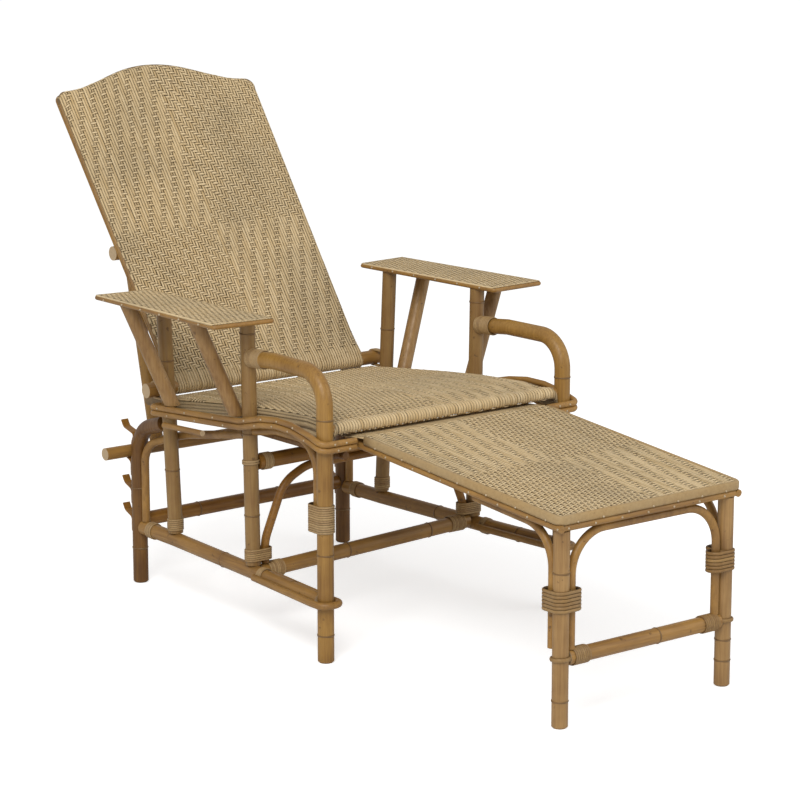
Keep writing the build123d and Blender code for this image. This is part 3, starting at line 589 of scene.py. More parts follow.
def corner_pull(in_x, in_y, corner):
    """Give the share of its way into a square corner that a point is drawn back to round it."""
    far = np.hypot(in_x, in_y)
    outside = (in_x > 0) & (in_y > 0) & (far > corner)
    return 1 - np.where(outside, corner / np.maximum(far, 1e-6), 1.0)


def finish_piece(made, body, material, replaced=()):
    """Give a piece its finish and its body."""
    made.data.materials.clear()
    made.data.materials.append(bpy.data.materials[material])
    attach(made, body)
    if replaced:
        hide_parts(*replaced)


def back_half(v):
    """Give the back's half width at a height along it."""
    share = np.clip(v / BACK_RISE, 0, 1.05)
    return BACK_HALF_LOW + (BACK_HALF_HIGH - BACK_HALF_LOW) * share


def back_crest(share):
    """Give the back's top line over its corner line, by the share of its half width."""
    return np.interp(np.abs(share), CREST_X, CREST_Z) * CREST


def on_back(x, v, n):
    """Turn across, up-the-back and out-behind into the chaise's frame."""
    y = PIVOT[1] + v * LEAN_SIN + n * LEAN_COS
    z = PIVOT[2] + v * LEAN_COS - n * LEAN_SIN
    return np.stack([x, y, z], axis=-1)


def build_back_weave():
    """Weave the back's front sheet, which rolls under the pivot pole and over the edges."""
    settings = bpy.context.scene.chaise
    pitch = settings.strand_pitch
    weft = settings.weft_pitch
    edge = 0.0058
    front = BACK_FRONT - 0.0018
    # The line is (up the back, out behind): under the pole from behind, then up the front
    points = [(0.055, 0.0065), (0.034, 0.0112), (0.016, 0.0152)]
    for t in np.radians(np.linspace(72, -72, 17)):
        points.append((-ROLL * math.cos(t), ROLL * math.sin(t)))
    points += [(0.018, -0.0148), (0.038, -0.0118), (0.066, front)]
    top = BACK_RISE
    points += [(v, front) for v in np.linspace(0.09, top - edge, 24)]
    for t in np.radians(np.linspace(10, 150, 8)):
        points.append((top - edge + edge * math.sin(t), front + edge - edge * math.cos(t)))
    at, total = path_frame(points)

    def place(u, s, h):
        v, n, tv, tn = at(s)
        share = np.clip(u / BACK_HALF_HIGH, -1, 1)
        grow = np.clip((v - CREST_FROM) / (top - CREST_FROM), 0, 1.03)
        half = back_half(v)
        flat = half - edge
        reach = np.abs(u) * (half / BACK_HALF_HIGH)
        past = reach - flat
        out, behind = fold(past, edge, h, 1.5)
        x = np.sign(u) * np.where(past > 0, flat + out, reach)
        return on_back(x, v + grow * back_crest(share) + tn * h, n - tv * h + behind)

    count = int(round(2 * (BACK_HALF_HIGH + 0.0032) / pitch))
    plain_to = 0.055 + math.pi * ROLL + 0.012
    vs = np.arange(plain_to, total - 0.002, weft)
    plain = np.linspace(0.0, plain_to - weft, 16)
    forward = np.arange(len(vs))[::-1]
    table = pattern(count, forward, count / 2, len(vs) * 0.5)
    table = plain_part(table, forward > len(vs) - 4)
    us = centred(count, pitch)
    weave("back_weave", "back", us, vs, table, place, THIN, 11, plain)


def build_back_rear():
    """Weave the sheet that shows behind the back, inside its side poles."""
    settings = bpy.context.scene.chaise
    pitch = settings.strand_pitch
    pole = 0.0232
    top = BACK_RISE - 0.0225
    reach = BACK_HALF_HIGH - pole

    def place(u, s, h):
        share = np.clip(u / BACK_HALF_HIGH, -1, 1)
        grow = np.clip((s - CREST_FROM) / (BACK_RISE - CREST_FROM), 0, 1.0)
        x = u / reach * (back_half(s) - pole)
        return on_back(x, s + grow * back_crest(share), BACK_FRONT + 0.0108 + h)

    count = int(round(2 * reach / pitch))
    vs = np.arange(0.058, top, settings.weft_pitch * 1.06)
    over = pattern(count, np.arange(len(vs))[::-1], count / 2, len(vs) * 0.5)[0]
    # The whole sheet is dimmed a little and darker along the strands' sides: painted shade
    table = (~over, *(np.full(over.shape, value) for value in (0.84, 0.2, 0.4)))
    us = centred(count, pitch)
    weave("back_weave_rear", "back", us, vs, table, place, THIN, 13)


def build_back_rims():
    """Lay the thin pole that covers each side edge of the back's weave."""
    parts = []
    low, high = 0.022, BACK_RISE - 0.016
    for sign in (-1, 1):
        ends = []
        for v in (low, high):
            grow = max(0.0, (v - CREST_FROM) / (BACK_RISE - CREST_FROM))
            x = sign * (back_half(v) - 0.0024)
            ends.append(on_back(x, v + grow * back_crest(sign), -0.0022))
        start, end = (Vector(np.asarray(e, float).ravel()[:3]) for e in ends)
        deselect()
        bpy.ops.mesh.primitive_cylinder_add(
            vertices=20, radius=0.0045, depth=(end - start).length
        )
        made = bpy.context.active_object
        bevel = made.modifiers.new("round", "BEVEL")
        bevel.width = 0.0018
        bevel.segments = 3
        bpy.ops.object.modifier_apply(modifier=bevel.name)
        made.data.transform(Matrix.Translation((start + end) / 2) @ turn_to(end - start))
        parts.append(made)
    join(parts, "back_side_rims", "back", "pole_strut")


def seat_path():
    """Give the seat's line from under its rear edge, over the top and round the front roll."""
    ys = np.array([p[0] for p in SEAT_LINE])[::-1]
    zs = np.array([p[1] for p in SEAT_LINE])[::-1]
    skin = 0.0012
    front_y = SEAT_LINE[-1][0] - 0.0103
    front_z = 0.45119
    radius = 0.0115
    rear_y = 0.0218
    rear_z = float(np.interp(rear_y, ys, zs)) - 0.0095
    points = []
    for t in np.radians(np.linspace(-100, 75, 9)):
        points.append((rear_y + radius * math.cos(t), rear_z + radius * math.sin(t)))
    for y in np.linspace(0.008, -0.525, 30):
        points.append((y, float(np.interp(y, ys, zs)) + skin))
    for t in np.radians(np.linspace(84, 255, 12)):
        points.append((front_y + radius * math.cos(t), front_z + radius * math.sin(t)))
    return path_frame(points)


def seat_half(y):
    """Give the woven seat's half width at a distance along the chaise."""
    ys = [-0.5414, -0.4729, -0.198, 0.1159]
    return np.interp(y, ys, [0.2770, SEAT_HALF, 0.2705, 0.2645])


def build_seat_weave():
    """Weave the seat, which folds down over its edge poles and its front roll."""
    settings = bpy.context.scene.chaise
    pitch = settings.strand_pitch
    at, total = seat_path()
    edge = 0.0112

    def place(u, s, h):
        y, z, ty, tz = at(s)
        flat = seat_half(y) - edge
        past = np.abs(u) - flat
        out, drop = fold(past, edge, h, math.pi / 2)
        # Below the edge pole the sheet hangs straight, and lower towards the front
        more = np.interp(y, [-0.56, -0.34, -0.2], [2.3, 2.1, 1.0])
        drop = drop + np.clip(past - edge * math.pi / 2, 0, None) * more
        x = np.sign(u) * np.where(past > 0, flat + out, np.abs(u))
        return np.stack([x, y + tz * h + SHIFT, z - ty * h - drop], axis=-1)

    count = int(round(2 * (SEAT_HALF + 0.0185) / pitch))
    vs = np.arange(0.004, total - 0.002, settings.weft_pitch)
    nj = len(vs)
    forward = np.arange(nj)
    table = pattern(count, forward, count / 2, nj * 0.45, low=True)
    rolled = (forward > nj - 8) & (forward < nj - 1)
    table = plain_part(table, rolled)
    # The first wefts at the rear lie plain and darkened: painted shade
    table = plain_part(table, forward < 4, 0.2)
    i = np.arange(count)[:, None]
    # The strands hanging down the sides lie plain and darkened: painted shade
    table = plain_part(table, (i < 4) | (i > count - 5), 0.55)
    weave("seat_weave", "frame", centred(count, pitch), vs, table, place, FULL, 23)


def build_foot_weave():
    """Weave the footrest's top, folded a little over its edges."""
    settings = bpy.context.scene.chaise
    pitch = settings.strand_pitch
    rear_y = -0.522
    dip_from = -0.592
    edge = 0.005

    def place(u, s, h):
        y = rear_y - s
        wide = foot_half(y) + 0.0006
        flat = wide - edge
        reach = np.abs(u) * (wide / 0.2315)
        past = reach - flat
        out, drop = fold(past, edge, h, 1.2)
        x = np.sign(u) * np.where(past > 0, flat + out, reach)
        end = FOOT_FRONT_Y + edge
        out, fall = fold(end - y, edge, h, 1.2)
        y_out = np.where(end - y > 0, end - out, y)
        drop = drop + fall
        # Round the two front corners
        corner = 0.016
        in_x = np.clip(np.abs(x) - (foot_half(FOOT_FRONT_Y) - corner), 0, None)
        in_y = np.clip(FOOT_FRONT_Y + corner - y_out, 0, None)
        pull = corner_pull(in_x, in_y, corner)
        x = np.sign(x) * (np.abs(x) - in_x * pull)
        y_out = y_out + in_y * pull
        # Behind the panel the sheet dips, to stay below the seat when it is pushed in
        dip = 0.09 * np.clip(y - dip_from, 0, None)
        z = foot_top(np.clip(y, FOOT_FRONT_Y, dip_from)) + 0.0017 + h - drop - dip
        return np.stack([x, y_out + SHIFT, z], axis=-1)

    count = int(round(2 * 0.2335 / pitch))
    vs = np.arange(0.001, 0.625, settings.weft_pitch)
    nj = len(vs)
    table = pattern(count, np.arange(nj), count / 2, nj * 0.56, low=True)
    i = np.arange(count)[:, None]
    table = plain_part(table, (i < 1) | (i > count - 2))
    # The rear part, under the seat's front roll, lies plain and darkened: painted shade
    table = plain_part(table, np.arange(nj) < 12, 0.3)
    us = centred(count, pitch)
    weave("footrest_weave", "footrest", us, vs, table, place, FULL, 37)


def build_arm_weave(side, sign):
    """Weave an armrest's top, out over its rim."""
    settings = bpy.context.scene.chaise
    corner = 0.010
    rounding = 0.0045

    def place(u, s, h):
        u = u if sign > 0 else 1.0 - u
        y = ARM_REAR_Y - s
        share = (ARM_REAR_Y - y) / (ARM_REAR_Y - ARM_FRONT_Y)
        inner = 0.268 + 0.0045 * share
        outer = 0.397 + 0.0155 * share
        middle = (inner + outer) / 2
        half = (outer - inner) / 2 - 0.0012
        x = (u - 0.5) * 2 * half
        in_x = np.clip(np.abs(x) - (half - corner), 0, None)
        ends = np.minimum(y - ARM_FRONT_Y, ARM_REAR_Y - y)
        in_y = np.clip(corner - ends, 0, None)
        pull = corner_pull(in_x, in_y, corner)
        x = np.sign(x) * (np.abs(x) - in_x * pull)
        way = np.where(y > (ARM_FRONT_Y + ARM_REAR_Y) / 2, -1.0, 1.0)
        y = y + way * in_y * pull
        rim = np.maximum(np.abs(x) - (half - rounding), rounding - ends)
        drop = np.clip(rim / rounding, 0, 1) ** 2 * 0.0035
        z = 0.633 + 0.005 * share + 0.0008 + h - drop
        y = y + 0.0136 * u * (1 - share) + 0.0100 * u * share
        return np.stack([sign * (middle + x), y + SHIFT, z], axis=-1)

    count = 21
    us = (np.arange(count) + 0.5) / count
    vs = np.arange(0.003, ARM_REAR_Y - ARM_FRONT_Y - 0.001, settings.weft_pitch)
    nj = len(vs)
    i = np.arange(count)[:, None]
    j = np.arange(nj)[None, :]
    slit = ((j - 2 * i) % 5) < 2
    over = ((j - 2 * i) % 5) < 3
    # The slits are dimmed and their sides darkened: painted shade
    table = (
        over,
        np.full(over.shape, 0.78),
        np.where(slit, 0.4, 0.05),
        np.where(slit, 1.0, 0.2),
    )
    table = plain_part(table, (i < 1) | (i > count - 2) | (j < 2) | (j > nj - 3))
    weave("armrest_weave_" + side, "frame", us, vs, table, place, FINE, 41)


def build_arm_weaves():
    """Weave both armrests."""
    for side, sign in (("left", -1), ("right", 1)):
        build_arm_weave(side, sign)


def build_foot_band():
    """Lay the smooth cane band round the footrest's sides and front."""
    deselect()
    bpy.ops.mesh.primitive_plane_add(size=1.0)
    made = bpy.context.active_object
    made.name = "footrest_edge_band"
    out = 0.0016
    corner = 0.017
    line = []
    front = FOOT_FRONT_Y - out
    half = foot_half(FOOT_FRONT_Y) + out
    for y in np.linspace(-0.594, front + corner, 20):
        line.append((-(foot_half(y) + out), y))
    for t in np.radians(np.linspace(10, 80, 6)):
        x = half - corner + corner * math.cos(t)
        line.append((-x, front + corner - corner * math.sin(t)))
    line += [(-x, y) for x, y in reversed(line)]
    verts = []
    # Each row of the band, as its inset from the edge and its height over the panel
    rows = [
        (0.0095, 0.0028), (0.0075, 0.0040), (0.0045, 0.0042), (0.0018, 0.0034),
        (0.0, 0.0014), (0.0, -0.0085), (0.0012, -0.0122),
    ]
    for x, y in line:
        top = foot_top(max(y, FOOT_FRONT_Y))
        in_x = abs(x) - (half - corner)
        in_y = front + corner - y
        if in_y <= 0:
            way = Vector((math.copysign(1.0, x), 0, 0))
        elif in_x <= 0:
            way = Vector((0, -1.0, 0))
        else:
            way = Vector((math.copysign(in_x, x), -in_y, 0)).normalized()
        for inset, rise in rows:
            verts.append((x - way.x * inset, y - way.y * inset + SHIFT, top + rise))
    faces = []
    count = len(rows)
    for k in range(len(line) - 1):
        for row in range(count - 1):
            a = k * count + row
            faces.append((a, a + 1, a + count + 1, a + count))
    made.data.clear_geometry()
    made.data.from_pydata(verts, [], faces)
    thicken = made.modifiers.new("thickness", "SOLIDIFY")
    thicken.thickness = 0.0012
    thicken.offset = -1.0
    bpy.ops.object.modifier_apply(modifier=thicken.name)
    bpy.ops.object.mode_set(mode="EDIT")
    bpy.ops.mesh.select_all(action="SELECT")
    bpy.ops.mesh.normals_make_consistent(inside=False)
    bpy.ops.object.mode_set(mode="OBJECT")
    bpy.ops.object.shade_smooth()
    finish_piece(made, "footrest", "cane_band")


# Bindings, node rings and nails


def turn_to(way):
    """Give the turn that takes Z to a direction."""
    return Vector((0, 0, 1)).rotation_difference(Vector(way)).to_matrix().to_4x4()


def wind(centre, way, radius, turns, strand, second=None):
    """Wind flat cane round a pole, or round two side by side; give the new object."""
    deselect()
    segments, around = 28, 8
    rise = strand * 0.98
    bpy.ops.mesh.primitive_torus_add(
        major_radius=radius + strand * 0.22,
        minor_radius=strand * 0.5,
        major_segments=segments,
        minor_segments=around,
    )
    made = bpy.context.active_object
    bpy.ops.object.mode_set(mode="EDIT")
    bpy.ops.mesh.select_all(action="SELECT")
    bpy.ops.transform.rotate(
        value=math.radians(3.5), orient_axis="X", center_override=(0.0, 0.0, 0.0)
    )
    bpy.ops.object.mode_set(mode="OBJECT")
    # Depth darkens the cane where it curls in towards the pole between turns: painted shade
    depths = []
    for vertex in made.data.vertices:
        flat = Vector((vertex.co.x, vertex.co.y, 0))
        far = flat.length - radius
        depths.append(min(1.0, max(0.0, 1.25 - far / (strand * 0.5))))
        vertex.co.x, vertex.co.y = (flat.normalized() * (radius + far * 0.72))[:2]
    if second is not None:
        way_to = Vector(second)
        for vertex in made.data.vertices:
            if Vector((vertex.co.x, vertex.co.y, 0)).dot(way_to) > 0:
                vertex.co += way_to
    layer = made.data.attributes.new("depth", "FLOAT", "POINT")
    layer.data.foreach_set("value", depths)
    array = made.modifiers.new("turns", "ARRAY")
    array.count = turns
    array.use_relative_offset = False
    array.use_constant_offset = True
    array.constant_offset_displace = (0, 0, rise)
    bpy.ops.object.modifier_apply(modifier=array.name)
    each = np.random.default_rng(turns + int(abs(centre[2]) * 1000)).random(turns)
    tone = made.data.attributes.new("tone", "FLOAT", "POINT")
    tone.data.foreach_set("value", np.repeat(each, segments * around).astype(np.float32))
    move = (
        Matrix.Translation(Vector(centre) + Vector((0, SHIFT, 0)))
        @ turn_to(way)
        @ Matrix.Translation((0, 0, -rise * (turns - 1) / 2))
    )
    made.data.transform(move)
    return made


def join(parts, name, body, material, replaced=()):
    """Join pieces into one named object at the origin and finish it."""
    deselect()
    for part in parts:
        part.select_set(True)
    bpy.context.view_layer.objects.active = parts[0]
    bpy.ops.object.join()
    made = bpy.context.active_object
    made.name = name
    made.data.name = name
    bpy.ops.object.shade_smooth()
    deselect()
    finish_piece(made, body, material, replaced)


def post_at(name, z):
    """Give an arm post's distance from the middle at a height."""
    foot, head = POST_X[name]
    return foot + (head - foot) * (z - POST_FOOT_Z) / (POST_HEAD_Z - POST_FOOT_Z)


def build_frame_bindings():
    """Wind the frame's bindings where its poles meet."""
    parts = []
    for sign in (-1, 1):
        # The left stretchers are a little lower than the right ones
        lift = 0.004 * sign
        rear_z = STRETCHER_Z + lift
        post_z = STRETCHER_Z + lift * 1.5314
        low_z = 0.127 + 0.0098 * sign
        mid_z = 0.3431 + 0.0029 * sign
        foot_x = sign * post_at("front", 0.16)
        mid_x = sign * post_at("front", mid_z)
        arm_x = sign * post_at("front", 0.552)
        beside = (-sign * 0.0245, 0, 0)
        behind = (0, 0.0243, 0)
        for centre, way, radius, turns, strand, second in (
            ((sign * post_at("rear", 0.158), 0, rear_z + 0.033), UP, POST_WRAP, 6, 0.0042, None),
            ((foot_x, POST_FRONT_Y, post_z + 0.035), UP, POST_WRAP, 6, 0.0042, beside),
            ((sign * 0.2667, 0.086, rear_z), ALONG, POST_WRAP, 5, 0.0042, None),
            ((sign * 0.2835, -0.338, post_z), ALONG, POST_WRAP, 4, 0.0042, None),
            ((sign * LEG_FRONT_X, LEG_FRONT_Y, 0.2815), UP, LEG_WRAP, 12, 0.0046, behind),
            ((sign * 0.2495, POST_FRONT_Y, mid_z), ACROSS, POST_WRAP, 5, 0.0042, None),
            (
                (sign * 0.232, POST_FRONT_Y, low_z - 0.0005 * sign),
                ACROSS, POST_WRAP, 9, 0.0042, None,
            ),
            ((arm_x, POST_FRONT_Y - 0.034, 0.5545), (0, 1, -0.06), 0.0166, 10, 0.0047, None),
            ((mid_x, POST_FRONT_Y, mid_z + 0.003), UP, POST_WRAP, 2, 0.0046, None),
        ):
            parts.append(wind(centre, way, radius, turns, strand, second))
    join(parts, "frame_bindings", "frame", "cane_wrap", ["frame_wraps"])


def build_foot_bindings():
    """Wind the footrest's bindings at its stretcher and legs."""
    parts = []
    gap = 0.0233
    for sign in (-1, 1):
        x = sign * FOOT_LEG_X
        # One tie holds the side arch's foot to the leg and one the front arch's
        tie = (x, FOOT_LEG_Y, 0.238 + 0.005 * sign)
        parts.append(wind((sign * 0.159, FOOT_LEG_Y, 0.12696), ACROSS, 0.0148, 8, 0.0046))
        parts.append(wind(tie, UP, POST_WRAP, 6, 0.0068, (-sign * gap, 0, 0)))
        parts.append(wind(tie, UP, 0.0156, 6, 0.0068, (0, gap, 0)))
        parts.append(wind((x, FOOT_LEG_Y, 0.1275), UP, 0.0150, 1, 0.0088))
    join(parts, "footrest_bindings", "footrest", "cane_wrap_foot", ["footrest_wraps"])


def ring(centre, way, radius):
    """Make one raised node ring of a pole."""
    deselect()
    bpy.ops.mesh.primitive_torus_add(
        major_radius=radius, minor_radius=0.0011, major_segments=32, minor_segments=6
    )
    made = bpy.context.active_object
    for vertex in made.data.vertices:
        vertex.co.z *= 1.6 + 0.5 * math.sin(3 * math.atan2(vertex.co.y, vertex.co.x))
    made.data.transform(Matrix.Translation(Vector(centre) + Vector((0, SHIFT, 0))) @ turn_to(way))
    return made


def build_rings():
    """Put the raised node rings on the poles, by body."""
    rows = []
    for sign in (-1, 1):
        for z in (0.478, 0.216, 0.058):
            rows.append(((sign * LEG_FRONT_X, LEG_FRONT_Y, z + 0.004 * sign), UP, LEG_RING))
        for z in (0.205, 0.075):
            rows.append(((sign * LEG_REAR_X, LEG_REAR_Y, z), UP, LEG_RING))
        for name, y, heights in (
            ("rear", 0, (0.27, 0.50)), ("front", POST_FRONT_Y, (0.235, 0.40, 0.60)),
        ):
            rows += [((sign * post_at(name, z), y, z), UP, POST_RING) for z in heights]
        for x, y, tilt in ((0.2762, -0.19, 0.0055), (0.288, -0.44, 0.0073)):
            rows.append(((sign * x, y, STRETCHER_Z + tilt * sign), ALONG, POST_RING))
    for y, z, tilt, places in (
        (LEG_REAR_Y, 0.1359, 0.0075, (-0.12, 0.09)),
        (POST_FRONT_Y, 0.127, 0.0381, (-0.05, 0.16)),
    ):
        rows += [((x, y, z + x * tilt), ACROSS, POST_RING) for x in places]
    join([ring(*row) for row in rows], "pole_rings_frame", "frame", "pole_ring")
    rows = [((0.03, FOOT_LEG_Y, 0.12696), ACROSS, 0.01455)]
    for sign, heights in ((-1, (0.285, 0.05)), (1, (0.09, 0.05))):
        rows += [((sign * FOOT_LEG_X, FOOT_LEG_Y, z), UP, POST_RING) for z in heights]
    join([ring(*row) for row in rows], "pole_rings_footrest", "footrest", "pole_ring")


def nail(centre):
    """Make one small domed nail head."""
    deselect()
    bpy.ops.mesh.primitive_uv_sphere_add(segments=8, ring_count=5, radius=0.0022)
    made = bpy.context.active_object
    made.data.transform(Matrix.Translation(Vector(centre) + Vector((0, SHIFT, 0))))
    return made


def build_nails():
    """Set the nails along the rims and rails."""
    heads = []
    for sign in (-1, 1):
        # The armrests' outer and inner rims
        for first_y, x, spread in ((0.08, 0.402, 0.0145), (0.07, 0.2675, 0.0045)):
            for share in (np.arange(6) + 0.5) / 6:
                z = 0.6295 + 0.005 * share
                heads.append((sign * (x + spread * share), first_y - share * 0.43, z))
        # The seat's upper and lower rails, along their sides and at the front
        for y in (-0.03, -0.13, -0.23, -0.34, -0.40, -0.455, -0.51):
            out = 0.3168 + max(0.0, -0.3 - y) * 0.0325
            for step_y, step_z in ((0.018, 0.0061), (-0.018, -0.0061)):
                z = float(np.interp(y + step_y, RAIL_Y, RAIL_Z)) + step_z
                heads.append((sign * out, y + step_y, z))
        for x in (0.262, 0.289):
            for side in (1, -1):
                heads.append((sign * (x + 0.004 * side), -0.5855, 0.4246 + 0.0061 * side))
    join([nail(head) for head in heads], "nails_frame", "frame", "nail")
    heads = []
    for k in range(7):
        # The footrest's rail and the band under it, along its sides and at the front
        y = FOOT_REAR_Y - 0.03 - k * 0.08
        for sign in (-1, 1):
            heads.append((sign * (foot_half(y) + 0.0016), y, foot_top(y) - 0.0100))
            low_y = y - 0.03
            heads.append((sign * (foot_half(low_y) + 0.0002), low_y, foot_top(low_y) - 0.0190))
        heads.append((-0.18 + k * 0.06, FOOT_FRONT_Y - 0.0016, 0.3782))
        heads.append((-0.20 + k * 0.063, FOOT_FRONT_Y - 0.0002, 0.3690))
    join([nail(head) for head in heads], "nails_footrest", "footrest", "nail")


def tint(colour, factors):
    """Multiply a colour by a factor for each channel."""
    return tuple(a * b for a, b in zip(colour, factors))


def finish_of(name):
    """Give the finish of a CAD piece."""
    for finish, starts in FINISHES.items():
        if name.startswith(starts):
            return finish
    return "pole_up"


def build_materials():
    """Make the finishes and put them on the CAD poles."""
    settings = bpy.context.scene.chaise
    pole_group()
    cane_group()
    light = tuple(settings.pole_light)
    dark = tuple(settings.pole_dark)
    low = tint(light, (0.98, 0.88, 0.56))
    gold = (0.98, 0.91, 0.58)
    shade = (0.8, 0.63, 0.27)
    # A darker copy of the pole colours for the rear legs and runners: painted shade
    rear = tint(light, (0.5, 0.39, 0.19))
    rear_dark = tint(dark, (0.46, 0.34, 0.15))
    for name, grain, pale, deep in (
        ("pole_up", GRAIN_UP, tint(light, gold), tint(dark, gold)),
        ("pole_strut", GRAIN_UP, light, dark),
        ("pole_post", GRAIN_UP, tint(light, (0.8, 0.82, 0.74)), dark),
        ("pole_rear_shaded", (200, 200, 9), rear, rear_dark),
        ("pole_across", GRAIN_ACROSS, low, dark),
        ("pole_along", GRAIN_ALONG, low, dark),
        ("pole_looped", GRAIN_ALONG, low, dark),
        ("pole_bent", (120, 40, 40), low, dark),
        ("pole_shade", (9, 200, 200), tint(light, shade), tint(dark, shade)),
        ("pole_ring", (60, 60, 60), tint(light, (0.45, 0.45, 0.45)), dark),
    ):
        pole_material(name, grain, pale, deep, name in ("pole_across", "pole_along"))
    cane_material("cane", tuple(settings.cane_light), tuple(settings.cane_dark), True)
    cane_material("cane_wrap", (0.46, 0.30, 0.13), (0.27, 0.155, 0.06), False)
    cane_material("cane_wrap_foot", (0.36, 0.215, 0.075), (0.21, 0.11, 0.035), False)
    cane_material("cane_band", (0.41, 0.27, 0.115), (0.26, 0.15, 0.055), False)
    painted_shade_core_material()
    nail_material()
    for name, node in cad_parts.items():
        if not node.material_slots:
            node.data.materials.append(None)
        for holder in node.material_slots:
            holder.material = bpy.data.materials[finish_of(name)]


def show_by_camera(tree, unseen, seen, out):
    """Show one shader to the camera and another to all other rays."""
    mix = tree.nodes.new("ShaderNodeMixShader")
    path = tree.nodes.new("ShaderNodeLightPath")
    tree.links.new(path.outputs["Is Camera Ray"], mix.inputs[0])
    tree.links.new(unseen.outputs[0], mix.inputs[1])
    tree.links.new(seen.outputs[0], mix.inputs[2])
    tree.links.new(mix.outputs[0], out.inputs[0])


def build_stage():
    """Set the camera, the soft lights, the white surroundings and the floor."""
    scene = bpy.context.scene
    scene.view_settings.view_transform = "Standard"
    camera_data = bpy.data.cameras.new("Camera")
    camera = add_object("Camera", camera_data)
    camera.location = (-3.34383, -4.69239 + SHIFT, 1.60756)
    target = Vector((0.0, -0.40763 + SHIFT, 0.44833))
    camera.rotation_euler = (target - camera.location).to_track_quat("-Z", "Y").to_euler()
    camera_data.sensor_width = 36.0
    camera_data.lens = 126.0
    camera_data.clip_end = 60
    scene.camera = camera
    world = bpy.data.worlds.new("Studio")
    scene.world = world
    world.use_nodes = True
    tree = world.node_tree
    tree.nodes.clear()
    out = tree.nodes.new("ShaderNodeOutputWorld")
    soft = tree.nodes.new("ShaderNodeBackground")
    fill(soft, Color=(1, 1, 1, 1), Strength=0.55)
    seen = tree.nodes.new("ShaderNodeBackground")
    fill(seen, Color=(1, 1, 1, 1), Strength=1.0)
    show_by_camera(tree, soft, seen, out)
    for name, place, size, power in (
        ("Key", (-2.6, -2.4, 3.4), 2.2, 115.0),
        ("Fill", (2.8, -3.2, 2.2), 3.0, 30.0),
    ):
        lamp_data = bpy.data.lights.new(name, "AREA")
        lamp_data.size = size
        lamp_data.energy = power
        lamp = add_object(name, lamp_data)
        lamp.location = place
        aim = Vector((0, 0, 0.4)) - lamp.location
        lamp.rotation_euler = aim.to_track_quat("-Z", "Y").to_euler()
    deselect()
    bpy.ops.mesh.primitive_plane_add(size=300.0, location=(0, 0, 0))
    floor = bpy.context.active_object
    floor.name = "floor"
    material = bpy.data.materials.new("floor")
    material.use_nodes = True
    tree = material.node_tree
    tree.nodes.clear()
    out = tree.nodes.new("ShaderNodeOutputMaterial")
    matte = tree.nodes.new("ShaderNodeBsdfDiffuse")
    fill(matte, Color=(0.86, 0.86, 0.86, 1))
    glow = tree.nodes.new("ShaderNodeEmission")
    fill(glow, Strength=0.55)
    add = tree.nodes.new("ShaderNodeAddShader")
    tree.links.new(matte.outputs[0], add.inputs[0])
    tree.links.new(glow.outputs[0], add.inputs[1])
    show_by_camera(tree, matte, add, out)
    floor.data.materials.append(material)


# Settings, operators and the panel


def pitch_setting(name, description, default):
    """Make the setting for one distance between strands."""
    return bpy.props.FloatProperty(
        name=name, description=description, default=default, min=0.004, max=0.02, unit="LENGTH"
    )


def colour_setting(name, description, default):
    """Make the setting for one colour."""
    return bpy.props.FloatVectorProperty(
        name=name, description=description, default=default,
        subtype="COLOR", min=0, max=1, size=3,
    )


class ChaiseSettings(bpy.types.PropertyGroup):
    """Sizes and colours that a user would change."""

    weft_pitch: pitch_setting(
        "Weft pitch", "Distance between neighbouring strands that run across the panels", 0.0052
    )
    strand_pitch: pitch_setting(
        "Strand pitch", "Distance between neighbouring strands that run along them", 0.0066
    )
    cane_light: colour_setting("Light cane", "The palest strands", (0.80, 0.62, 0.365))
    cane_dark: colour_setting("Dark cane", "The darkest strands", (0.54, 0.37, 0.165))
    pole_light: colour_setting("Light pole", "The poles' pale streaks", (0.40, 0.235, 0.085))
    pole_dark: colour_setting("Dark pole", "The poles' dark streaks", (0.20, 0.10, 0.03))


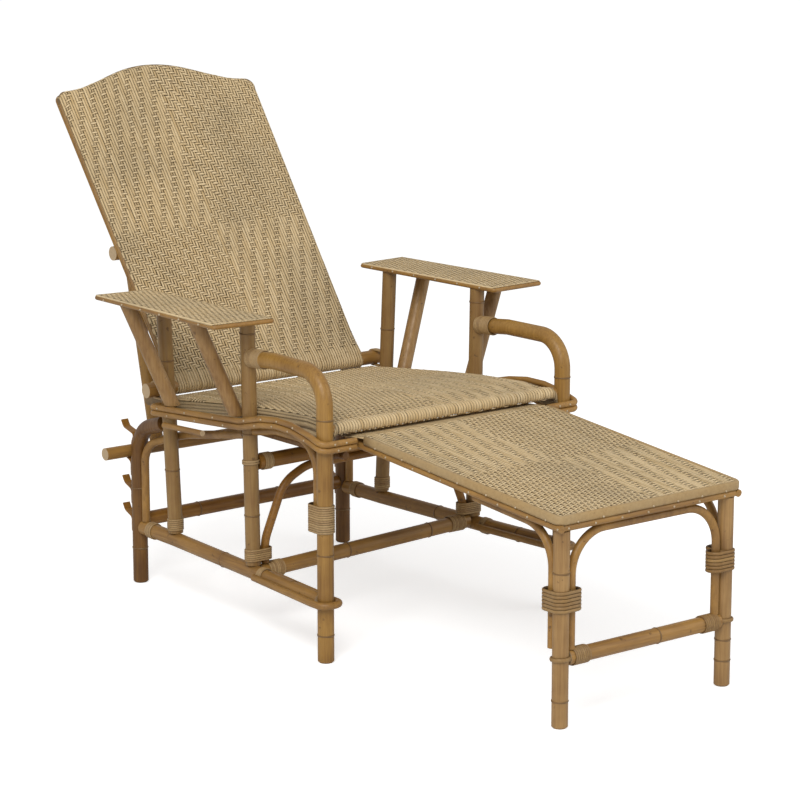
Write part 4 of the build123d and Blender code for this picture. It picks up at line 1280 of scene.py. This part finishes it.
def step(name, label, text, *builds):
    """Make the operator class of one building step."""

    def execute(self, context):
        for build in builds:
            build()
        return {"FINISHED"}

    facts = {
        "__doc__": text,
        "bl_idname": "chaise." + name,
        "bl_label": label,
        "execute": execute,
    }
    return type("CHAISE_OT_" + name, (bpy.types.Operator,), facts)


STEPS = (
    step("stage", "Stage", "Set the camera, lights and floor", build_stage),
    step("finishes", "Finishes", "Make the finishes and put them on the poles", build_materials),
    step("back", "Back", "Weave the back", build_back_weave, build_back_rear, build_back_rims),
    step("seat", "Seat weave", "Weave the seat", build_seat_weave),
    step("footrest", "Footrest weave", "Weave the footrest", build_foot_weave, build_foot_band),
    step("armrests", "Armrest weave", "Weave both armrests", build_arm_weaves),
    step("bindings", "Bindings", "Wind the bindings", build_frame_bindings, build_foot_bindings),
    step("rings", "Node rings", "Put node rings on the poles", build_rings),
    step("nails", "Nails", "Set the nails", build_nails),
)


class CHAISE_PT_panel(bpy.types.Panel):
    """Lists the chaise's settings and building steps"""

    bl_label = "Rattan chaise"
    bl_idname = "CHAISE_PT_panel"
    bl_space_type = "VIEW_3D"
    bl_region_type = "UI"
    bl_category = "Chaise"

    def draw(self, context):
        layout = self.layout
        settings = context.scene.chaise
        for name in ChaiseSettings.__annotations__:
            layout.prop(settings, name)
        for operator in STEPS:
            layout.operator(operator.bl_idname)


CLASSES = (ChaiseSettings, *STEPS, CHAISE_PT_panel)


def register():
    """Register the classes and the settings."""
    for cls in CLASSES:
        bpy.utils.register_class(cls)
    bpy.types.Scene.chaise = bpy.props.PointerProperty(type=ChaiseSettings)


def unregister():
    """Remove the settings and the classes."""
    del bpy.types.Scene.chaise
    for cls in reversed(CLASSES):
        bpy.utils.unregister_class(cls)


def main():
    """Build the chaise's looks in order and write both boxes."""
    register()
    bpy.ops.chaise.stage()
    bpy.ops.chaise.finishes()
    bpy.ops.chaise.back()
    bpy.ops.chaise.seat()
    bpy.ops.chaise.footrest()
    bpy.ops.chaise.armrests()
    bpy.ops.chaise.bindings()
    bpy.ops.chaise.rings()
    bpy.ops.chaise.nails()


if __name__ == "__main__":
    main()
